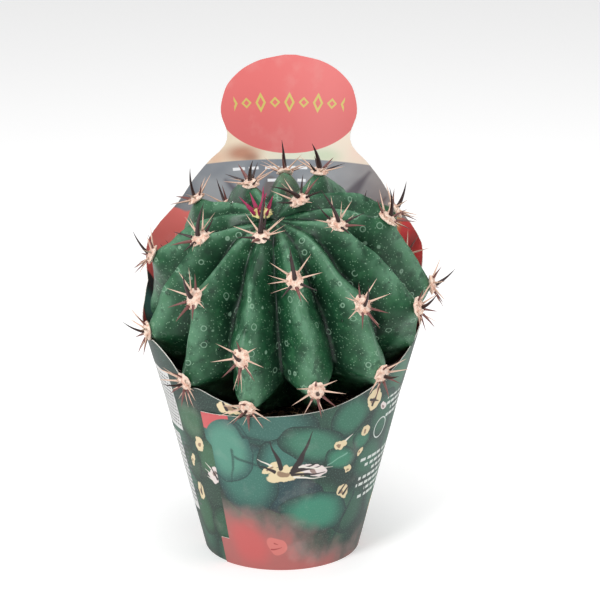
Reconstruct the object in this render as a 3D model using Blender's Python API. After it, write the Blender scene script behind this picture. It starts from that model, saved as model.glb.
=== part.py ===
"""Round ribbed cactus in a plastic pot, standing in a printed card sleeve.

Metres, +Z up. The origin is the centre of the pot's underside. -Y is the front, where the
sleeve is low; its tall back panel with the oval header is at +Y.
"""
import math

import bmesh
import bpy
import numpy as np
from mathutils import Matrix, Vector
from mathutils.bvhtree import BVHTree

# Pot
POT_BASE_RADIUS = 0.0420
POT_RIM_RADIUS = 0.0645
POT_HEIGHT = 0.0920
POT_WALL = 0.0012
POT_LIP_HEIGHT = 0.0070
POT_LIP_WIDTH = 0.0030
POT_FOOT_ROUNDING = 0.0008
POT_SIDES = 60
DRAIN_COUNT = 8
DRAIN_RADIUS = 0.0040
DRAIN_CIRCLE_RADIUS = 0.0290

# Potting soil
SOIL_BELOW_RIM = 0.0040
SOIL_CLEARANCE = 0.0004
SOIL_SIDES = 48
SOIL_RINGS = 12
SOIL_LOOKS = 3

# Cactus stem: a ribbed globe leaning in its pot, with a root neck under it
STEM_RADIUS = 0.0755
STEM_RISE = 0.0605
STEM_DROP = 0.0560
STEM_OFFSET_RIGHT = 0.0035
STEM_OFFSET_FORWARD = 0.0025
STEM_LEAN_FORWARD = 21.4
STEM_LEAN_LEFT = 6.9
RIB_COUNT = 13
FIRST_RIB_ANGLE = -102.0
RIB_DEPTH = 0.0185
RIB_BULGE_AT_AREOLE = 0.0035
RIB_BULGE_SPREAD = 9.0
RIB_KEENNESS = 1.12
RIB_FOOT_KEENNESS = 0.60
CROWN_HOLLOW = 0.0035
CROWN_FULLNESS = 0.70
UNDERSIDE_FULLNESS = 1.40
NECK_RADIUS = 0.0200
NECK_LENGTH = 0.0120
STEM_RINGS = 22
STEM_FACES_PER_RIB = 6

# Clearances round the stem
STEM_TO_RIM = 0.0055
STEM_TO_CARD = 0.0032
STEM_TO_SOIL = 0.0008
STEM_TO_CARD_EDGE = 0.0018

# Areoles: woolly cushions on the ribs, placed by a 5/13 turn rule from the crown down
AREOLE_SPACING = 58.0
YOUNGEST_AREOLE = 2.0
LOWEST_AREOLE = 128.0
CROWDING_STARTS = 88.0
CROWDING = 0.25
WORN_AREOLE = (0, 2)
CUSHION_LENGTH = 0.0110
CUSHION_WIDTH = 0.0088
CUSHION_HEIGHT = 0.0026
CUSHION_TO_STEM = 0.0005

# Spines
CENTRAL_SPINE_LENGTH = 0.0170
CENTRAL_SPINE_THICKNESS = 0.0026
LOWER_SPINE_LENGTH = 0.0125
LOWER_SPINE_THICKNESS = 0.0018
NEEDLE_LENGTH = 0.0125
NEEDLE_THICKNESS = 0.0010
SPINE_CLEARANCE = 0.0008

# Card sleeve: one sheet wound once round the pot, its outer end lapped over its inner end
CARD_THICKNESS = 0.0005
CARD_TO_RIM = 0.0006
CARD_LAP_GAP = 0.0005
PANEL_EXTRA_LEAN = 0.10
SHEET_TURN = 2.0
SEAM_ANGLE = 214.5
SEAM_TAB_ANGLE = 7.0
SEAM_TONGUE_ANGLE = 3.0
INNER_END_ANGLE = 174.0

# Half the back panel's width, as an angle about the pot's axis, at each height above the rim
PANEL_HALF_WIDTH = [
    (0.0530, 71.0),
    (0.0610, 68.5),
    (0.0710, 64.0),
    (0.0770, 56.0),
    (0.0870, 41.5),
    (0.0980, 33.0),
    (0.1070, 26.0),
    (0.1140, 20.4),
    (0.1200, 19.1),
    (0.1320, 20.5),
    (0.1450, 18.5),
    (0.1540, 14.2),
    (0.1600, 8.5),
    (0.1630, 1.5),
]

# The sheet's top edge above the rim beyond the panel's shoulders, by angle from the back's middle
RIGHT_EDGE = [
    (71.0, 0.0530),
    (82.0, 0.0445),
    (98.0, 0.0380),
    (112.0, 0.0295),
    (134.0, 0.0170),
    (162.0, 0.0080),
    (215.0, 0.0035),
]
LEFT_EDGE = [
    (71.0, 0.0530),
    (82.0, 0.0445),
    (100.0, 0.0385),
    (120.0, 0.0360),
    (134.0, 0.0250),
    (146.0, 0.0165),
    (174.0, 0.0060),
]


def clear_scene():
    for old in list(bpy.data.objects):
        bpy.data.objects.remove(old, do_unlink=True)


def material(name, colour, roughness):
    made = bpy.data.materials.new(name)
    made.use_nodes = True
    shader = made.node_tree.nodes["Principled BSDF"]
    shader.inputs["Base Color"].default_value = (*colour, 1.0)
    shader.inputs["Roughness"].default_value = roughness
    shader.inputs["Metallic"].default_value = 0.0
    return made


def add_object(name, bm, finish, smooth_angle=35.0):
    """Make one named object from a bmesh, shaded smooth except at its real edges."""
    mesh = bpy.data.meshes.new(name)
    bm.to_mesh(mesh)
    bm.free()
    mesh.shade_smooth()
    mesh.set_sharp_from_angle(angle=math.radians(smooth_angle))
    mesh.materials.append(finish)
    made = bpy.data.objects.new(name, mesh)
    bpy.context.scene.collection.objects.link(made)
    return made


def along(points, x):
    """Read a smooth curve through (x, y) points that stays level where its slope changes sign."""
    if x <= points[0][0]:
        return points[0][1]
    if x >= points[-1][0]:
        return points[-1][1]
    slopes = [(b[1] - a[1]) / (b[0] - a[0]) for a, b in zip(points, points[1:])]
    after = next(i for i, point in enumerate(points) if point[0] > x)
    before = after - 1
    (x0, y0), (x1, y1) = points[before], points[after]
    tangents = []
    for index in (before, after):
        low = slopes[max(index - 1, 0)]
        high = slopes[min(index, len(slopes) - 1)]
        tangents.append(2.0 * low * high / (low + high) if low * high > 0.0 else 0.0)
    t = (x - x0) / (x1 - x0)
    span = x1 - x0
    return (
        y0 * (1.0 + 2.0 * t) * (1.0 - t) ** 2
        + span * tangents[0] * t * (1.0 - t) ** 2
        + y1 * t * t * (3.0 - 2.0 * t)
        + span * tangents[1] * t * t * (t - 1.0)
    )


def smoothstep(x):
    x = min(max(x, 0.0), 1.0)
    return x * x * (3.0 - 2.0 * x)


# ---------------------------------------------------------------- pot


def pot_taper():
    return (POT_RIM_RADIUS - POT_BASE_RADIUS) / POT_HEIGHT


def pot_outer_radius(height):
    """Outer radius of the pot's wall below its lip."""
    wall_top = POT_RIM_RADIUS - POT_LIP_WIDTH
    return POT_BASE_RADIUS + (wall_top - POT_BASE_RADIUS) * height / POT_HEIGHT


def turn_profile(profile, steps):
    """Turn a list of (radius, height) points about +Z into a closed solid."""
    bm = bmesh.new()
    start = [bm.verts.new((radius, 0.0, height)) for radius, height in profile]
    edges = [bm.edges.new(pair) for pair in zip(start, start[1:])]
    bmesh.ops.spin(
        bm,
        geom=start + edges,
        cent=(0.0, 0.0, 0.0),
        axis=(0.0, 0.0, 1.0),
        angle=math.tau,
        steps=steps,
        use_merge=True,
        use_duplicate=False,
    )
    bmesh.ops.remove_doubles(bm, verts=bm.verts[:], dist=0.00001)
    bmesh.ops.recalc_face_normals(bm, faces=bm.faces[:])
    return bm


def make_pot():
    lip_bottom = POT_HEIGHT - POT_LIP_HEIGHT
    lip_foot_radius = POT_RIM_RADIUS - pot_taper() * POT_LIP_HEIGHT
    profile = [
        (0.0, 0.0),
        (POT_BASE_RADIUS - POT_FOOT_ROUNDING, 0.0),
        (POT_BASE_RADIUS, POT_FOOT_ROUNDING),
        (pot_outer_radius(lip_bottom), lip_bottom),
        (lip_foot_radius, lip_bottom),
        (POT_RIM_RADIUS, POT_HEIGHT),
        (pot_outer_radius(POT_HEIGHT) - POT_WALL, POT_HEIGHT),
        (pot_outer_radius(POT_WALL) - POT_WALL, POT_WALL),
        (0.0, POT_WALL),
    ]
    bm = turn_profile(profile, POT_SIDES)
    pot = add_object("plastic_pot", bm, material("pot_plastic", (0.045, 0.035, 0.033), 0.45))
    cutters = bmesh.new()
    for index in range(DRAIN_COUNT):
        turn = math.tau * index / DRAIN_COUNT
        place = Matrix.Translation(
            (
                DRAIN_CIRCLE_RADIUS * math.cos(turn),
                DRAIN_CIRCLE_RADIUS * math.sin(turn),
                POT_WALL / 2,
            )
        )
        bmesh.ops.create_cone(
            cutters,
            cap_ends=True,
            segments=12,
            radius1=DRAIN_RADIUS,
            radius2=DRAIN_RADIUS,
            depth=4.0 * POT_WALL,
            matrix=place,
        )
    cutter = add_object("drain_hole_cutter", cutters, pot.data.materials[0])
    cutter.hide_render = True
    cutter.display_type = "WIRE"
    drains = pot.modifiers.new("drain holes", "BOOLEAN")
    drains.operation = "DIFFERENCE"
    drains.solver = "EXACT"
    drains.object = cutter
    return pot


# ---------------------------------------------------------------- cactus stem


def rib_angle(rib):
    return math.radians(FIRST_RIB_ANGLE + 360.0 / RIB_COUNT * rib)


def areole_colatitudes(rib):
    """Angles from the crown of one rib's areoles. The lowest, oldest ones crowd together."""
    colatitude = (YOUNGEST_AREOLE + AREOLE_SPACING * 5.0 / RIB_COUNT * rib) % AREOLE_SPACING
    found = []
    while colatitude < LOWEST_AREOLE:
        beyond = max(colatitude - CROWDING_STARTS, 0.0)
        found.append(colatitude - beyond * (1.0 - CROWDING))
        colatitude += AREOLE_SPACING
    return found


def stem_profile(colatitude):
    """Radius and height of a rib's ridge at an angle from the crown, about the stem's own axis."""
    fullness = CROWN_FULLNESS if colatitude < 90.0 else UNDERSIDE_FULLNESS
    radius = STEM_RADIUS * max(math.sin(math.radians(colatitude)), 0.0) ** fullness
    reach = STEM_RISE if colatitude < 90.0 else STEM_DROP
    height = reach * math.cos(math.radians(colatitude))
    height -= CROWN_HOLLOW * (1.0 - smoothstep(colatitude / 14.0))
    height -= NECK_LENGTH * smoothstep((colatitude - 150.0) / 22.0)
    if 140.0 < colatitude < 179.0:
        share = smoothstep((colatitude - 140.0) / 20.0)
        radius += (NECK_RADIUS - radius) * share
    return radius, height


def stem_turn():
    left = Matrix.Rotation(math.radians(-STEM_LEAN_LEFT), 3, "Y")
    return left @ Matrix.Rotation(math.radians(STEM_LEAN_FORWARD), 3, "X")


def rib_section(angle, colatitude, nearness):
    """A rib's cross-section, 1 on its ridge. It is swollen at an areole and keen between them."""
    ridge = min(abs(math.cos(0.5 * RIB_COUNT * (angle - rib_angle(0)))), 1.0)
    across = math.acos(ridge) / (0.5 * math.pi)
    keenness = RIB_KEENNESS + (RIB_FOOT_KEENNESS - RIB_KEENNESS) * smoothstep((colatitude - 70.0) / 45.0)
    swollen = min(nearness, 1.0)
    return swollen * ridge**0.85 + (1.0 - swollen) * (1.0 - across**keenness)


def stem_surface(angle, colatitude, bulges):
    """A point of the ribbed skin, leaning but not yet lifted onto the pot."""
    radius, height = stem_profile(colatitude)
    above = stem_profile(max(colatitude - 0.5, 0.0))
    below = stem_profile(min(colatitude + 0.5, 180.0))
    outward = Vector((above[1] - below[1], below[0] - above[0])).normalized()
    nearness = sum(math.exp(-(((colatitude - bulge) / RIB_BULGE_SPREAD) ** 2)) for bulge in bulges)
    wave = rib_section(angle, colatitude, nearness)
    depth = RIB_DEPTH * smoothstep((colatitude - 1.0) / 36.0) * (1.0 - smoothstep((colatitude - 125.0) / 20.0))
    lift = RIB_BULGE_AT_AREOLE * nearness * wave**3 - depth * (1.0 - wave)
    radius += outward.x * lift
    height += outward.y * lift
    upright = Vector((radius * math.sin(angle), -radius * math.cos(angle), height))
    return stem_turn() @ upright


def nearest_rib(angle):
    return round((angle - rib_angle(0)) / math.tau * RIB_COUNT) % RIB_COUNT


def stem_place():
    """Stand the stem so that its ribs clear the pot's rim by the named clearance."""
    centre = Vector((STEM_OFFSET_RIGHT, -STEM_OFFSET_FORWARD, 0.0))
    inside_rim = POT_RIM_RADIUS - POT_LIP_WIDTH - POT_WALL
    lowest = 0.0
    for rib in range(RIB_COUNT):
        for colatitude in range(80, 140):
            point = centre + stem_surface(rib_angle(rib), colatitude, areole_colatitudes(rib))
            if math.hypot(point.x, point.y) > inside_rim:
                lowest = min(lowest, point.z)
    centre.z = POT_HEIGHT + STEM_TO_RIM - lowest
    return centre


def make_stem(centre):
    bm = bmesh.new()
    columns = RIB_COUNT * STEM_FACES_PER_RIB
    bmesh.ops.create_uvsphere(bm, u_segments=columns, v_segments=STEM_RINGS, radius=1.0)
    bmesh.ops.rotate(bm, verts=bm.verts[:], matrix=Matrix.Rotation(rib_angle(0), 3, "Z"))
    for vertex in bm.verts:
        colatitude = math.degrees(math.acos(max(-1.0, min(1.0, vertex.co.z))))
        angle = math.atan2(vertex.co.x, -vertex.co.y)
        bulges = areole_colatitudes(nearest_rib(angle))
        vertex.co = centre + stem_surface(angle, colatitude, bulges)
    skin = BVHTree.FromBMesh(bm)
    add_object("cactus_stem", bm, material("cactus_skin", (0.035, 0.13, 0.07), 0.4), 60.0)
    return skin


# ---------------------------------------------------------------- soil


def soil_level():
    return POT_HEIGHT - SOIL_BELOW_RIM


def soil_top(x, y, skin, reach):
    """Height of the soil, which dips under the part of the stem that is bedded in it."""
    height = soil_level()
    steps = [reach * step / SOIL_LOOKS for step in range(-SOIL_LOOKS, SOIL_LOOKS + 1)]
    for across in steps:
        for deeper in steps:
            start = Vector((x + across, y + deeper, 0.0))
            hit = skin.ray_cast(start, Vector((0.0, 0.0, 1.0)))[0]
            if hit is not None:
                height = min(height, hit.z - STEM_TO_SOIL)
    return height


def make_soil(skin):
    bottom = POT_WALL + SOIL_CLEARANCE
    foot_radius = pot_outer_radius(POT_WALL) - POT_WALL - SOIL_CLEARANCE
    top_radius = pot_outer_radius(soil_level()) - POT_WALL - SOIL_CLEARANCE
    bm = bmesh.new()
    foot = bmesh.ops.create_circle(bm, cap_ends=True, segments=SOIL_SIDES, radius=foot_radius)
    bmesh.ops.translate(bm, verts=foot["verts"], vec=(0.0, 0.0, bottom))
    bmesh.ops.reverse_faces(bm, faces=bm.faces[:])
    ring = foot["verts"]
    reach = top_radius / SOIL_RINGS
    for step in range(SOIL_RINGS, 0, -1):
        radius = top_radius * step / SOIL_RINGS
        inner = []
        for vertex in ring:
            direction = Vector((vertex.co.x, vertex.co.y, 0.0)).normalized() * radius
            height = soil_top(direction.x, direction.y, skin, reach)
            inner.append(bm.verts.new((direction.x, direction.y, height)))
        for index in range(SOIL_SIDES):
            after = (index + 1) % SOIL_SIDES
            bm.faces.new((ring[index], ring[after], inner[after], inner[index]))
        ring = inner
    middle = bm.verts.new((0.0, 0.0, soil_top(0.0, 0.0, skin, reach)))
    for index in range(SOIL_SIDES):
        bm.faces.new((ring[index], ring[(index + 1) % SOIL_SIDES], middle))
    bmesh.ops.recalc_face_normals(bm, faces=bm.faces[:])
    add_object("potting_soil", bm, material("peat", (0.022, 0.014, 0.010), 0.95))


# ---------------------------------------------------------------- sleeve


def lap_offset(turn):
    """How far the sheet has wound outwards, from its inner end on the left to its outer end."""
    wound = (turn + INNER_END_ANGLE) / (SEAM_ANGLE + INNER_END_ANGLE)
    return (CARD_THICKNESS + CARD_LAP_GAP) * wound


def card_radius(turn, height, stem_height):
    """Radius of the sheet's inner face. turn is in degrees from the back's middle, right positive.

    Up to the rim the sheet follows the pot's taper. Above it, it runs straight on past the stem.
    """
    rim_radius = POT_RIM_RADIUS + CARD_TO_RIM
    flare = (STEM_RADIUS + STEM_TO_CARD - rim_radius) / (stem_height - POT_HEIGHT)
    above = max(height - POT_HEIGHT, 0.0)
    behind = math.cos(math.radians(turn)) ** 2 if abs(turn) < 90.0 else 0.0
    cone = rim_radius - pot_taper() * (POT_HEIGHT - min(height, POT_HEIGHT))
    return cone + (flare + PANEL_EXTRA_LEAN * behind) * above + lap_offset(turn)


def card_point(turn, height, stem_height):
    radius = card_radius(turn, height, stem_height)
    angle = math.radians(turn + SHEET_TURN)
    return Vector((radius * math.sin(angle), radius * math.cos(angle), height))


def card_top(turn):
    """Height of the sheet's top edge, up to the panel's shoulders."""
    if abs(turn) <= PANEL_HALF_WIDTH[0][1]:
        return POT_HEIGHT + PANEL_HALF_WIDTH[0][0]
    edge = RIGHT_EDGE if turn > 0.0 else LEFT_EDGE
    return POT_HEIGHT + along(edge, abs(turn))


def clear_top(turn, skin, stem_height):
    """The top edge, kept below any rib that swells out over the sheet."""
    top = card_top(turn)
    step = 0.001
    height = POT_HEIGHT
    while height < top:
        for beside in (-4.0, -2.0, 0.0, 2.0, 4.0):
            wall = card_point(turn + beside, height, stem_height)
            outward = Vector((wall.x, wall.y, 0.0)).normalized()
            hit = skin.ray_cast(wall + outward * STEM_RADIUS, -outward)[0]
            if hit is not None and (hit - wall).dot(outward) > -STEM_TO_CARD_EDGE:
                return height - step
        height += step
    return top


def seam_shift(share):
    """The free end's cut line: a tongue at the top, a straight run and a tab at the foot."""
    if share < 0.17:
        return SEAM_TAB_ANGLE
    return SEAM_TONGUE_ANGLE if share > 0.79 else 0.0


def sleeve_turns():
    """Angles of the sheet's columns, from its inner end round the back to its outer end."""
    shoulder = PANEL_HALF_WIDTH[0][1]
    stops = [(-INNER_END_ANGLE, 18), (-shoulder, 24), (shoulder, 25)]
    ends = [-shoulder, shoulder, SEAM_ANGLE]
    turns = []
    for (start, steps), end in zip(stops, ends):
        turns += [start + (end - start) * index / steps for index in range(steps)]
    return turns + [SEAM_ANGLE]


def sleeve_wall(bm, turns, skin, stem_height):
    """The sheet from its foot up to the shoulders' height or to its own top edge."""
    shares = [0.0, 0.16, 0.18, 0.48, 0.78, 0.80, 1.0]
    columns = []
    for turn in turns:
        top = clear_top(turn, skin, stem_height)
        column = []
        for share in shares:
            shift = seam_shift(share) if turn == turns[-1] else 0.0
            column.append(bm.verts.new(card_point(turn + shift, top * share, stem_height)))
        columns.append(column)
    for left, right in zip(columns, columns[1:]):
        for row in range(len(shares) - 1):
            bm.faces.new((left[row], left[row + 1], right[row + 1], right[row]))
    return columns


def sleeve_panel(bm, columns, turns, stem_height):
    """The tall back panel above its shoulders, each row spread over the panel's width."""
    shoulder = PANEL_HALF_WIDTH[0][1]
    on_panel = [index for index, turn in enumerate(turns) if abs(turn) < shoulder + 0.001]
    below = [columns[index][-1] for index in on_panel]
    start = PANEL_HALF_WIDTH[0][0]
    tall = PANEL_HALF_WIDTH[-1][0] - start
    rows = 18
    for step in range(1, rows + 1):
        height = start + tall * math.sin(0.5 * math.pi * step / rows) ** 1.1
        half_width = along(PANEL_HALF_WIDTH, height)
        row = []
        for index in on_panel:
            turn = turns[index] / shoulder * half_width
            row.append(bm.verts.new(card_point(turn, POT_HEIGHT + height, stem_height)))
        for index in range(len(row) - 1):
            bm.faces.new((below[index], row[index], row[index + 1], below[index + 1]))
        below = row


def make_sleeve(skin, stem_height):
    bm = bmesh.new()
    turns = sleeve_turns()
    columns = sleeve_wall(bm, turns, skin, stem_height)
    sleeve_panel(bm, columns, turns, stem_height)
    sleeve = add_object("card_sleeve", bm, material("printed_card", (0.12, 0.27, 0.22), 0.35), 60.0)
    shell = sleeve.modifiers.new("card thickness", "SOLIDIFY")
    shell.thickness = CARD_THICKNESS
    shell.offset = 1.0
    shell.use_even_offset = True


# ---------------------------------------------------------------- areoles and spines


def areole_frame(rib, colatitude, centre):
    """Matrix of an areole: +Z out of the skin, -Y down its rib, origin just off the skin."""
    bulges = areole_colatitudes(rib)
    angle = rib_angle(rib)
    step = 1.5
    place = centre + stem_surface(angle, colatitude, bulges)
    higher = centre + stem_surface(angle, max(colatitude - step, 0.5), bulges)
    lower = centre + stem_surface(angle, colatitude + step, bulges)
    up = (higher - lower).normalized()
    before = centre + stem_surface(angle - 0.02, colatitude, bulges)
    after = centre + stem_surface(angle + 0.02, colatitude, bulges)
    outward = (after - before).cross(up).normalized()
    if outward.dot(place - centre) < 0.0:
        outward = -outward
    side = up.cross(outward)
    axes = Matrix((side, up, outward)).transposed().to_4x4()
    return Matrix.Translation(place + outward * CUSHION_TO_STEM) @ axes


def spine_plan(colatitude):
    """Spines of one areole, strongest first: side, turn from down, rise, length, thickness, bend."""
    age = smoothstep(colatitude / 90.0)
    strength = 1.1 - 0.35 * age
    central = CENTRAL_SPINE_LENGTH * strength
    lower = LOWER_SPINE_LENGTH * (1.05 - 0.15 * age)
    thick = LOWER_SPINE_THICKNESS * (1.1 - 0.2 * age)
    return [
        (None, 180.0, 66.0, central, CENTRAL_SPINE_THICKNESS * strength, 0.35),
        (0, 0.0, 32.0, lower, thick, -0.10),
        (1, 45.0, 26.0, 0.92 * lower, 0.8 * thick, -0.05),
        (7, -45.0, 26.0, 0.92 * lower, 0.8 * thick, -0.05),
        (4, 180.0, 30.0, 0.80 * lower, 0.8 * thick, 0.10),
        (2, 84.0, 24.0, NEEDLE_LENGTH, NEEDLE_THICKNESS, 0.0),
        (6, -84.0, 24.0, NEEDLE_LENGTH, NEEDLE_THICKNESS, 0.0),
        (3, 128.0, 28.0, NEEDLE_LENGTH, NEEDLE_THICKNESS, 0.0),
        (5, -128.0, 28.0, NEEDLE_LENGTH, NEEDLE_THICKNESS, 0.0),
    ]


def crown_plan():
    """The newest areole's spines, all standing close to upright."""
    return [
        (None, 180.0, 80.0, 0.70 * CENTRAL_SPINE_LENGTH, CENTRAL_SPINE_THICKNESS, 0.15),
        (0, 0.0, 50.0, 0.90 * LOWER_SPINE_LENGTH, LOWER_SPINE_THICKNESS, 0.05),
        (2, 90.0, 58.0, 0.90 * LOWER_SPINE_LENGTH, LOWER_SPINE_THICKNESS, 0.05),
        (6, -90.0, 58.0, 0.90 * LOWER_SPINE_LENGTH, LOWER_SPINE_THICKNESS, 0.05),
        (1, 45.0, 55.0, 0.75 * LOWER_SPINE_LENGTH, LOWER_SPINE_THICKNESS, 0.0),
        (7, -45.0, 55.0, 0.75 * LOWER_SPINE_LENGTH, LOWER_SPINE_THICKNESS, 0.0),
        (3, 135.0, 62.0, 0.65 * LOWER_SPINE_LENGTH, LOWER_SPINE_THICKNESS, 0.0),
        (5, -135.0, 62.0, 0.65 * LOWER_SPINE_LENGTH, LOWER_SPINE_THICKNESS, 0.0),
    ]


def cushion_edge(turn, share, height):
    """A point of the oval cushion, by its turn from down the rib."""
    angle = math.radians(turn)
    return Vector(
        (
            0.5 * CUSHION_WIDTH * share * math.sin(angle),
            -0.5 * CUSHION_LENGTH * share * math.cos(angle),
            height,
        )
    )


def spine_path(spine, length, shares):
    """Points along a spine's middle line, in its areole's own axes."""
    side, turn, rise, _, _, bend = spine
    flat = math.radians(turn)
    lift = math.radians(rise)
    sideways = Vector((math.sin(flat), -math.cos(flat), 0.0))
    heading = sideways * math.cos(lift) + Vector((0.0, 0.0, math.sin(lift)))
    root = cushion_edge(45.0 * side, 0.86, 0.6 * CUSHION_HEIGHT) if side is not None else Vector((0.0, 0.0, CUSHION_HEIGHT))
    curl = sideways if side is None else Vector((0.0, 0.0, 1.0))
    return [root + heading * (length * share) + curl * (bend * length * share * share) for share in shares]


def meets_card(point, stem_height):
    turn = math.degrees(math.atan2(point.x, point.y)) - SHEET_TURN
    radius = math.hypot(point.x, point.y)
    above = point.z - POT_HEIGHT
    for wound in (turn, turn + 360.0):
        if not -INNER_END_ANGLE - 2.0 < wound < SEAM_ANGLE + SEAM_TAB_ANGLE + 2.0:
            continue
        gap = SPINE_CLEARANCE
        on_wall = point.z < card_top(wound) + gap
        on_panel = abs(wound) < along(PANEL_HALF_WIDTH, above) + 1.0 and above < PANEL_HALF_WIDTH[-1][0]
        inner = card_radius(wound, point.z, stem_height)
        if (on_wall or on_panel) and inner - gap < radius < inner + CARD_THICKNESS + gap:
            return True
    return False


def meets_pot(point):
    radius = math.hypot(point.x, point.y)
    over_pot = radius < POT_RIM_RADIUS + SPINE_CLEARANCE
    return over_pot and point.z < POT_HEIGHT + SPINE_CLEARANCE


def free_length(spine, frame, skin, stem_height, taken):
    """Length that a spine can reach before it would touch anything, in steps of a twentieth."""
    _, _, _, length, thickness, _ = spine
    shares = [0.05 * step for step in range(1, 21)]
    points = [frame @ point for point in spine_path(spine, length, shares)]
    reached = 0.0
    for share, point in zip(shares, points):
        half = 0.5 * thickness * (1.0 - share) + SPINE_CLEARANCE
        if share > 0.25:
            if meets_card(point, stem_height) or meets_pot(point):
                break
            if skin.find_nearest(point)[3] < half:
                break
        if len(taken) and (np.linalg.norm(taken[:, :3] - np.array(point), axis=1) < taken[:, 3] + half).any():
            break
        reached = share
    return length * max(reached - 0.05, 0.0)


def clear_frame(rib, colatitude, centre):
    """An areole's frame, slid up its rib until its cushion has room beside the card."""
    rim = [cushion_edge(45.0 * side, share, CUSHION_HEIGHT) for side in range(8) for share in (0.0, 0.7, 1.0)]
    frame = areole_frame(rib, colatitude, centre)
    while any(meets_card(frame @ point, centre.z) for point in rim):
        colatitude -= 1.0
        frame = areole_frame(rib, colatitude, centre)
    return frame


def plan_clusters(centre, skin):
    """Fix every spine's length, the strongest of all the areoles first."""
    clusters = []
    for rib in range(RIB_COUNT):
        for number, colatitude in enumerate(areole_colatitudes(rib)):
            newest = rib == 0 and number == 0
            if (rib, number) == WORN_AREOLE:
                continue
            clusters.append(
                {
                    "name": "crown_spines" if newest else f"spine_cluster_{rib + 1:02d}_{number + 1}",
                    "frame": clear_frame(rib, colatitude, centre),
                    "spines": crown_plan() if newest else spine_plan(colatitude),
                    "lengths": [],
                    "newest": newest,
                }
            )
    placed = [[] for _ in clusters]
    for index, cluster in enumerate(clusters):
        middle = cluster["frame"] @ Vector((0.0, 0.0, 0.5 * CUSHION_HEIGHT))
        placed[index].append((*middle, 0.5 * CUSHION_LENGTH))
    for order in range(9):
        for index, cluster in enumerate(clusters):
            if order >= len(cluster["spines"]):
                continue
            spine = cluster["spines"][order]
            others = [row for other, rows in enumerate(placed) if other != index for row in rows]
            length = free_length(spine, cluster["frame"], skin, centre.z, np.array(others))
            cluster["lengths"].append(length)
            shares = [0.1 * step for step in range(11)]
            for share, point in zip(shares, spine_path(spine, length, shares)):
                placed[index].append((*(cluster["frame"] @ point), 0.5 * spine[4] * (1.0 - share)))
    return clusters


def grow_spine(bm, face, path, radii):
    """Draw a face out along a path, ring by ring, to a point."""
    for centre, radius in zip(path, radii):
        middle = face.calc_center_median()
        heading = (centre - middle).normalized()
        face = bmesh.ops.extrude_discrete_faces(bm, faces=[face])["faces"][0]
        for vertex in face.verts:
            across = vertex.co - middle
            across -= heading * across.dot(heading)
            vertex.co = centre + across.normalized() * radius
    tip = path[-1]
    bmesh.ops.pointmerge(bm, verts=face.verts[:], merge_co=tip)


def make_cluster(cluster, finish):
    """One areole: a low woolly cushion with eight spines round its side and one on its top."""
    bm = bmesh.new()
    levels = [(0.82, 0.0), (1.0, 0.35), (0.74, 0.85), (0.34, 1.0)]
    rings = []
    for share, height in levels:
        turns = [45.0 * side - 22.5 for side in range(8)]
        rings.append([bm.verts.new(cushion_edge(turn, share, height * CUSHION_HEIGHT)) for turn in turns])
    bm.faces.new(rings[0][::-1])
    sides = []
    for low, high in zip(rings, rings[1:]):
        for side in range(8):
            after = (side + 1) % 8
            sides.append(bm.faces.new((low[side], low[after], high[after], high[side])))
    top = bm.faces.new(rings[-1])
    for spine, length in zip(cluster["spines"], cluster["lengths"]):
        side, _, _, _, thickness, _ = spine
        if length < 2.0 * thickness:
            continue
        face = top if side is None else sides[8 + side]
        shares = [0.10, 0.45, 0.75, 1.0] if side is None else [0.12, 0.55, 1.0]
        radii = [0.5 * thickness * (1.0 - 0.75 * share) for share in shares]
        radii[-1] = 0.0001
        grow_spine(bm, face, spine_path(spine, length, shares), radii)
    bmesh.ops.recalc_face_normals(bm, faces=bm.faces[:])
    made = add_object(cluster["name"], bm, finish, 50.0)
    made.location = cluster["frame"].to_translation()
    made.rotation_euler = cluster["frame"].to_euler()


def make_clusters(centre, skin):
    young = material("crown_spine", (0.35, 0.03, 0.12), 0.45)
    for cluster in plan_clusters(centre, skin):
        old = material(cluster["name"], (0.62, 0.42, 0.33), 0.6)
        make_cluster(cluster, young if cluster["newest"] else old)


clear_scene()
make_pot()
stem_centre = stem_place()
stem_skin = make_stem(stem_centre)
make_soil(stem_skin)
make_sleeve(stem_skin, stem_centre.z)
make_clusters(stem_centre, stem_skin)
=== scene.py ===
"""A round ribbed cactus in its growers' pot, standing in a printed card sleeve."""
import math
import random

import bmesh
import bpy
from mathutils import Matrix, Vector, noise
from mathutils.bvhtree import BVHTree


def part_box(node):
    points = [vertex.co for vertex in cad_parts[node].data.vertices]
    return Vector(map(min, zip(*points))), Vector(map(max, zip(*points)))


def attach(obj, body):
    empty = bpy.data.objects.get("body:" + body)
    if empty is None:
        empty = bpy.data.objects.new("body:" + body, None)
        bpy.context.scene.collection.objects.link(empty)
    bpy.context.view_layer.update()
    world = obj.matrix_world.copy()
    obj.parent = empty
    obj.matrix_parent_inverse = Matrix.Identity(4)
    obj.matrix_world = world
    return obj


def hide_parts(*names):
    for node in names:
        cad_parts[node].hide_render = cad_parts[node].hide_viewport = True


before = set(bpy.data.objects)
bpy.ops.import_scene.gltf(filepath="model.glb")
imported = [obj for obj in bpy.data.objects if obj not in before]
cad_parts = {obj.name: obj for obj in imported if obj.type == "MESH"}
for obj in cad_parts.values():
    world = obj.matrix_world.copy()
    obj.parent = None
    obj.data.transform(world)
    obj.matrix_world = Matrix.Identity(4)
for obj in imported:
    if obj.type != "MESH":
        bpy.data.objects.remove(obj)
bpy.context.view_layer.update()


# ------------------------------------------------------------------ camera, floor and lights
# The camera looks down a little at the low front of the sleeve. The floor is plain and pale,
# and the light is soft all round, with one wide lamp in front on the left for the gloss.

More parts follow.
